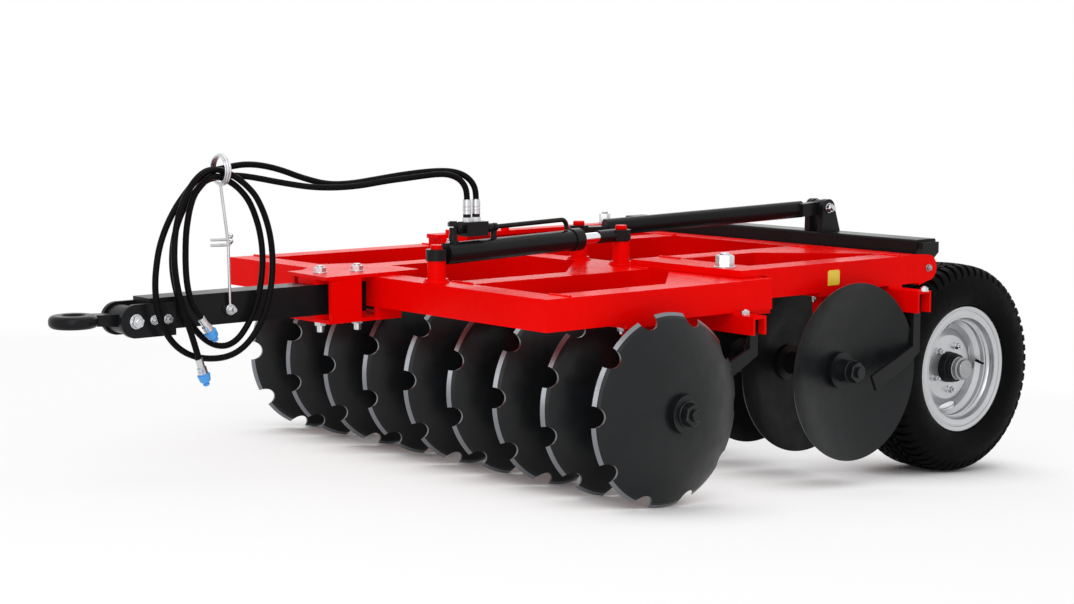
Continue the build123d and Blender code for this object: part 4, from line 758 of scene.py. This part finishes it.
def make_welds():
    """Beads where the frames' tubes and posts are joined."""
    rng = random.Random(11)
    sides = ("left", None, None, "right")
    front = Form()
    for y_low, outer in zip(FRONT_BEAMS, sides):
        weld(front, tube_end(TUBE, y_low, 0, outer), 5.0, rng)
    for y_low, outer in zip(FRONT_BEAMS[1:], sides[1:]):
        weld(front, tube_end(FRONT_LENGTH - TUBE, y_low, 0, outer), 5.0, rng)
    weld(front, [(FRONT_LENGTH - TUBE, TUBE, -16), (FRONT_LENGTH - TUBE, TUBE, -84)], 5.0, rng)
    angles = [index * math.pi / 12 for index in range(25)]
    for x, y in POSTS:
        ring = [(x + POST_RING * math.cos(angle), y + POST_RING * math.sin(angle), 1) for angle in angles]
        weld(front, ring, 4.5, rng)
    front.piece("front_frame_welds", "red", "front_frame", 60)
    rear = Form()
    for y_low, outer in zip(REAR_BEAMS, sides):
        weld(rear, tube_end(REAR_END_X - TUBE, y_low, REAR_TOP_Z, outer), 5.0, rng)
    weld(rear, tube_end(REAR_START_X, REAR_BEAMS[1], REAR_TOP_Z), 5.0, rng)
    rear.piece("rear_frame_welds", "red", "rear_frame", 60)


make_welds()


# ---------------------------------------------------------------- bolts, caps and small parts

BRACKET_BOLTS = ((-137, 998), (-5, 975))
CHEEK_BOLTS = ((-866, 23), (-803, 15), (-756, 15))
CHEEK_FACE = 66.0
HOLDER_BOLT = (-531, 912, -72)
HANGER_GAPS = (0, 2, 5, 7)
HANGER_STEP = 125
HANGER_BOLT_REACH = 80
BAR_NUT = (1715.0, 1669.0, 46.0)


def hanger_bolts(form, x, places, z):
    """A pair of bolts under each hanger of a gang."""
    for y in places:
        for dx in (-HANGER_BOLT_REACH, HANGER_BOLT_REACH):
            hex_bolt(form, (x + dx, y, z), (0, 0, -1), 16, turn=dx, stud=8)


def make_front_bolts():
    """Bright bolts of the bracket, the hitch cheeks, the gang's hangers and the hose holder."""
    form = Form()
    for x, y in BRACKET_BOLTS:
        hex_bolt(form, (x, y, 12), (0, 0, 1), 24, turn=15, stud=6)
        hex_bolt(form, (x, y, -143), (0, 0, -1), 24, turn=10, stud=22)
    for x, size in CHEEK_BOLTS:
        hex_bolt(form, (x, DRAWBAR_Y - CHEEK_FACE, -84), (0, -1, 0), size, turn=12, stud=5)
        hex_bolt(form, (x, DRAWBAR_Y + CHEEK_FACE, -84), (0, 1, 0), size, turn=20, stud=9)
    hex_bolt(form, HOLDER_BOLT, (0, -1, 0), 15, turn=8, stud=14)
    places = [FRONT_GANG[1] + (gap + 1) * DISC_PITCH - HANGER_STEP for gap in HANGER_GAPS]
    hanger_bolts(form, FRONT_GANG[0], places, -114)
    form.piece("front_frame_bolts", "zinc", "front_frame")
    nut = Form()
    nut.add(turned([(0, 0), (27, 0), (27, 4), (0, 4)], 36), axes(BAR_NUT, (0, 0, 1)))
    nut.add(turned([(0, 4), (23, 4), (23, 36), (20.5, 39), (0, 39)], 6), axes(BAR_NUT, (0, 0, 1), 9))
    nut.add(turned([(0, 39), (13, 39), (13, 46), (11.5, 47.5), (0, 47.5)], 24), axes(BAR_NUT, (0, 0, 1)))
    nut.piece("adjusting_bar_nut", "zinc", "front_frame")


HOLDER_RING = (-559.0, 918.0, 369.0)
HOLDER_ELBOW_X = -531.0
HOLDER_EYE_Y = 915.0


def circle(middle, radius, count):
    """Points round a circle that stands across X."""
    x, y, z = middle
    angles = [2 * math.pi * index / count for index in range(count)]
    return [(x, y + radius * math.cos(angle), z + radius * math.sin(angle)) for angle in angles]


def make_holder_wire():
    """The hose holder's second ring, its prongs' bent ends and the eye round its bolt."""
    form = Form()
    x, y, z = HOLDER_RING
    for radius, wire, shift in ((46.0, 4.0, 8.5), (44.0, 3.0, -7.0)):
        form.add(swept(circle((x + shift, y, z), radius, 48), [wire] * 48, 12, closed=True))
    for low, side in ((132, -1), (149, 1)):
        bend = []
        for index in range(9):
            turn = index * math.pi / 8
            height = low + 8.5 - 8.5 * side * math.cos(turn)
            bend.append((HOLDER_ELBOW_X + 9 * math.sin(turn), y + side * 6 * math.sin(2 * turn), height))
        form.add(swept(bend, [4.6] * 9, 12))
    angles = [index * math.pi / 12 for index in range(24)]
    eye = [(HOLDER_BOLT[0] + 13 * math.cos(angle), HOLDER_EYE_Y, HOLDER_BOLT[2] + 13 * math.sin(angle))
           for angle in angles]
    form.add(swept(eye, [5.0] * 24, 12, closed=True))
    form.piece("hose_holder_wire", "zinc", "front_frame")


BARREL_PORT = (122.0, 613.4)
BLOCK_FRONT = (166.5, 620, 164)
BLOCK_REAR = (253.5, 620, 164)
PIPE_ALONG = (382.5, 31, 8)
PIPE_CLIP = (300, 623.8, 165)
# Lower end, upper end, radius and count of sides
PORT_COLLARS = ((118, 131, 19, 6), (131, 150, 14.5, 24), (176, 190, 18.5, 6), (190, 193, 13, 24))
PIPE_COLLARS = ((0, 9, 13, 24), (9, 25, 17, 6), (25, 34, 13.5, 24))
GREASE_NIPPLES = ((100, 611.7, 125.5), (640, 652, 138))


def collar(low, high, radius):
    """The outline of a nut or collar between two heights, its outer edge eased."""
    return [(0, low), (radius, low), (radius, high - 1.5), (radius * 0.92, high), (0, high)]


def make_oil_trim():
    """Black nuts and cap of the oil fittings, a clip round the pipe and the grease nipples."""
    form = Form()
    port = axes((*BARREL_PORT, 0), (0, 0, 1), 10)
    for low, high, radius, sides in PORT_COLLARS:
        form.add(turned(collar(low, high, radius), sides), port)
    for low, high, radius, sides in PIPE_COLLARS:
        form.add(turned(collar(low, high, radius), sides), axes(BLOCK_REAR, PIPE_ALONG, 15))
        form.add(turned(collar(low, high, radius), sides), axes(BLOCK_FRONT, (-1, -0.15, 0), 15))
    clip = [(9, -9), (12.5, -9), (13.5, -7), (13.5, 7), (12.5, 9), (9, 9)]
    form.add(turned(clip, 32), axes(PIPE_CLIP, PIPE_ALONG))
    form.piece("oil_nuts", "black", "cylinder_body")
    nipple = Form()
    for spot in GREASE_NIPPLES:
        place = axes(spot, (0, 0, 1))
        nipple.add(turned([(0, -3), (5.5, -3), (5.5, 5), (0, 5)], 6), place)
        nipple.add(turned([(0, 5), (3, 5), (3, 8), (4, 9.5), (3, 12), (0, 12.5)], 16), place)
    nipple.piece("grease_nipples", "zinc", "cylinder_body")


EAR_FACES = ((66, -1), (1719, 1))
STRUT_EAR_FACE = 45.0


def make_rear_bolts():
    """Bolts of the rear gang's hangers, the hinge nut, and the ends of the pivot and strut pins."""
    form = Form()
    places = [REAR_GANG[1] + (DISC_COUNT - 2 - gap) * DISC_PITCH + HANGER_STEP for gap in HANGER_GAPS]
    hanger_bolts(form, REAR_GANG[0], places, -89)
    place = axes((HINGE[0], HINGE[1], REAR_TOP_Z), (0, 0, 1), 12)
    form.add(turned([(0, 0), (36, 0), (36, 4), (34.5, 5), (0, 5)], 40), place)
    form.add(turned([(0, 5), (31.5, 5), (31.5, 38), (28.5, 42), (19, 42), (0, 42)], 6), place)
    form.add(turned([(0, 42), (17, 42), (17, 47), (15, 49), (0, 49)], 24), place)
    form.piece("rear_frame_bolts", "zinc", "rear_frame")
    pins = Form()
    for y, side in EAR_FACES:
        hex_bolt(pins, (PIVOT[0], y, PIVOT[1]), (0, side, 0), 13, turn=7, stud=3)
    pins.piece("pivot_bolts", "steel", "rear_frame")
    ends = Form()
    x, y, z = STRUT_PIN
    for side in (-1, 1):
        hex_bolt(ends, (x, y + side * STRUT_EAR_FACE, z), (0, side, 0), 19, turn=11, stud=12)
    ends.piece("strut_pin_nuts", "zinc", "rockshaft")


def make_bar_bolts():
    """The bright bolts on the channel bars, one beside each scraper's arm."""
    for name, gang, bar, step, body in (
            ("front", FRONT_GANG, FRONT_BAR, 48.0, "front_frame"),
            ("rear", REAR_GANG, REAR_BAR, -48.0, "rear_frame")):
        form = Form()
        for index in range(DISC_COUNT):
            y = gang[1] + index * DISC_PITCH + step
            hex_bolt(form, (bar[0], y, bar[1]), (0, 0, 1), 16, turn=17 * index, stud=4)
        form.piece(f"{name}_bar_bolts", "zinc", body)


def make_pin_heads():
    """Red heads on the cylinder's and the strut's pins."""
    head = [(0, 0), (19.6, 0), (20.4, 1.5), (20.4, 12), (18.5, 15.2), (0, 15.6)]
    for name, x, y, top, body in (
            ("rod_pin_head", 905, 672, 86.3, "rod_body"),
            ("strut_pin_head", 905, 897, 88, "strut_body")):
        form = Form()
        form.add(turned(head, 36), axes((x, y, top + EYE_TOP - 0.3), (0, 0, 1)))
        form.piece(name, "red", body)


FERRULE_NUT = [(0, 0), (16, 0), (16, 13), (14.5, 14.5), (0, 14.5)]
FERRULE_SLEEVE = [
    (0, 14), (12, 14), (12, 24), (14, 25), (14, 34), (13.2, 35), (13.2, 36.5), (14, 37.5),
    (14, 46), (13.2, 47), (13.2, 48.5), (14, 49.5), (14, 60), (13.4, 70), (12.4, 72.5), (0, 72.5),
]


def make_ferrules():
    """Crimped bright ferrules between the valve block and the hoses."""
    form = Form()
    for route in (HOSE_A_ROUTE, HOSE_B_ROUTE):
        place = axes((route[0][0], route[0][1], 187.5), (0, 0, 1), 9)
        form.add(turned(FERRULE_NUT, 6), place)
        form.add(turned(FERRULE_SLEEVE, 28), place)
    form.piece("hose_ferrules", "zinc", "cylinder_body")


make_front_bolts()
make_holder_wire()
make_oil_trim()
make_rear_bolts()
make_bar_bolts()
make_pin_heads()
make_ferrules()


# ---------------------------------------------------------------- tyres and wheels

LUG_COUNT = 60
# Distance from the tyre's middle and radius, from the bead to the crown
CARCASS = [
    (94.8, 196), (94.8, 228), (95.5, 232), (104, 233), (113, 237), (121.5, 246), (128.5, 264),
    (131.2, 284), (131, 302), (128, 320), (123, 337), (116.5, 351), (106, 362), (91, 369.5),
    (60, 373.5), (30, 375.5), (0, 376),
]
# The same columns for the top of each row of blocks, from the middle to the shoulder
TREAD_ROWS = (
    ((5, 384), (15, 383.9), (25, 383.7)),
    ((32, 383.4), (43, 382.9), (54, 382.2)),
    ((61, 381.6), (78, 380.2), (93, 377.6), (104, 372.6), (112, 366), (118, 357.5), (122, 347)),
)


BLOCK_DEPTH = 10.0


def make_tyre(side_name, y):
    """A treaded implement tyre: a smooth carcass with three rows of blocks on each half."""
    form = Form()
    profile = [(r, w) for w, r in CARCASS] + [(r, -w) for w, r in reversed(CARCASS[:-1])]
    place = axes((AXLE_X, y, AXLE_Z), (0, 1, 0))
    form.add(turned(profile, 144), place)
    step = 2 * math.pi / LUG_COUNT
    for half in (1, -1):
        for row, line in enumerate(TREAD_ROWS):
            for index in range(LUG_COUNT):
                angle = (index + 0.4 * row + 0.25 * (half > 0)) * step
                form.add(tread_block(line, half, angle, step, row), place)
    made = form.piece(f"treaded_tyre_{side_name}", "tyre", f"wheel_{side_name}", 30)
    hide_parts(f"tyre_{side_name}")


def tread_block(line, half, angle, step, row):
    """One raised block that follows the tread's outline, slightly tapered and raked."""
    share = 0.80 if row < 2 else 0.66
    points = []
    count = len(line)
    for number, (across, radius) in enumerate(line):
        rake = 0.5 * step * (number / (count - 1) - 0.5) * (1 if row % 2 == 0 else -1) * half
        for level, narrow in ((radius - BLOCK_DEPTH, 1.0), (radius - 1.4, 0.90), (radius, 0.80)):
            width = step * share * narrow / 2
            for turn in (-width, width):
                at = angle + rake + turn
                points.append((level * math.cos(at), level * math.sin(at), across * half))
    faces = []
    for number in range(count - 1):
        a = number * 6
        b = a + 6
        faces += [(a, a + 2, b + 2, b), (a + 2, a + 4, b + 4, b + 2), (a + 4, a + 5, b + 5, b + 4),
                  (a + 5, a + 3, b + 3, b + 5), (a + 3, a + 1, b + 1, b + 3)]
    last = (count - 1) * 6
    faces += [(0, 1, 3, 2), (2, 3, 5, 4)]
    faces += [(last, last + 2, last + 3, last + 1), (last + 2, last + 4, last + 5, last + 3)]
    return points, faces


# Radius and distance outward from the wheel's middle
RIM_LIP = [
    (222.9, 97), (228.5, 97.6), (231.4, 100.5), (231.6, 105), (229.4, 108.4), (225.2, 109.4),
    (221, 108), (217.6, 105), (214.6, 104.8), (211, 107), (205, 108.6), (198.5, 107.2),
    (195, 104.8), (192.2, 105), (189, 103.6), (187, 99.5), (186.4, 93), (187.6, 88.5),
    (187.6, 85), (185.6, 80.5), (182.2, 76.4), (178.8, 73.2), (182.5, 72), (189.5, 74),
    (189.5, 103), (222.9, 103.2), (222.9, 97),
]
WHEEL_NUTS = 5
NUT_CIRCLE = 85.0
NUT_TURN = 60.0
DISH_FACE = 38.0
HUB_SLEEVE = [
    (46.2, 38.2), (57, 38.2), (57, 44), (55.5, 46), (54.5, 64), (51.5, 67), (51, 80), (49, 82.6), (40, 82.6),
]
HUB_CAP = [
    (30.2, 80), (41.5, 82.7), (42.5, 84), (42.5, 88), (39.5, 90), (39, 93), (41.5, 95),
    (41.5, 106), (38, 109), (35.5, 109.5), (35.5, 120), (34, 122), (31, 122), (30, 121),
    (20, 121), (19, 122), (17, 122), (16, 121), (0, 121),
]
VALVE_X = AXLE_X + 150
VALVE_PATH = ((48, 12), (60, 9), (72, 5), (84, 3))


def make_wheel_fittings(side_name, y, side):
    """Wheel nuts with their studs, the valve, the rim's lip, the hub's sleeve and its bright cap."""
    outward = -side
    place = axes((AXLE_X, y, AXLE_Z), (0, outward, 0))
    nuts = Form()
    for index in range(WHEEL_NUTS):
        angle = math.radians(NUT_TURN + 360 * index / WHEEL_NUTS)
        x = AXLE_X + NUT_CIRCLE * math.cos(angle)
        z = AXLE_Z + NUT_CIRCLE * math.sin(angle)
        spot = axes((x, y + outward * DISH_FACE, z), (0, outward, 0), 23 * index)
        nuts.add(turned([(0, 0), (14, 0), (14, 2.5), (10, 4), (0, 4)], 28), spot)
        nuts.add(turned([(0, 4), (11.8, 4), (11.8, 16), (10.4, 18), (0, 18)], 6), spot)
        nuts.add(turned([(0, 18), (6, 18), (6, 25), (5, 27), (0, 27)], 16), spot)
    nuts.piece(f"wheel_nuts_{side_name}", "zinc", f"wheel_{side_name}")
    for name, profile, sides, finish, sharp in (
            ("hub_sleeve", HUB_SLEEVE, 64, "black", 38.0),
            ("hub_cap", HUB_CAP, 64, "steel", 38.0),
            ("rim_lip", RIM_LIP, 144, "silver", 30.0)):
        ring = Form()
        ring.add(turned(profile, sides), place)
        ring.piece(f"{name}_{side_name}", finish, f"wheel_{side_name}", sharp)
    valve = Form()
    path = [(VALVE_X, y + outward * across, AXLE_Z + height) for across, height in VALVE_PATH]
    valve.add(swept(path, [5.5, 5.0, 4.2, 4.2], 12))
    valve.piece(f"tyre_valve_{side_name}", "tyre", f"wheel_{side_name}")


for side_name, y, side in WHEELS:
    make_tyre(side_name, y)
    make_wheel_fittings(side_name, y, side)


# ---------------------------------------------------------------- plate, gang ends and sizes

def make_plate():
    """The blank yellow plate on the rear frame's left beam."""
    form = Form()
    place = axes((1334, 66, -27), (0, -1, 0))
    outline = rounded([(-29, -26, 0), (29, -26, 0), (29, 26, 0), (-29, 26, 0), (-29, -26, 0)], 4)[:-1]
    form.add(slab([(p.x, p.y) for p in outline], 0, 1.4, 0.5), place)
    form.piece("blank_plate", "yellow", "rear_frame")


GANG_END_BULGE = 105.0
GANG_END_HOLLOW = -15.0


def make_gang_ends():
    """The nuts on the gangs' axles, each on its washer, with the axle's end standing out."""
    for name, gang, direction in (("front", FRONT_GANG, -1), ("rear", REAR_GANG, 1)):
        x, y_first, z = gang
        far = y_first + (DISC_COUNT - 1) * DISC_PITCH
        for y, outward in ((y_first, -1), (far, 1)):
            reach = GANG_END_BULGE if outward == direction else GANG_END_HOLLOW
            form = Form()
            place = axes((x, y + outward * reach, z), (0, outward, 0), 20)
            form.add(turned([(0, -1), (42, -1), (42, 4), (40, 6), (0, 6)], 40), place)
            form.add(turned([(0, 6), (37, 6), (37, 27), (34, 30), (0, 30)], 6), place)
            form.add(turned([(0, 30), (19, 30), (19, 39), (17, 41), (12, 41), (11, 40), (0, 40)], 32), place)
            side_name = "left" if outward < 0 else "right"
            form.piece(f"{name}_gang_nut_{side_name}", f"{name}_gang", f"{name}_gang")


make_plate()
make_gang_ends()
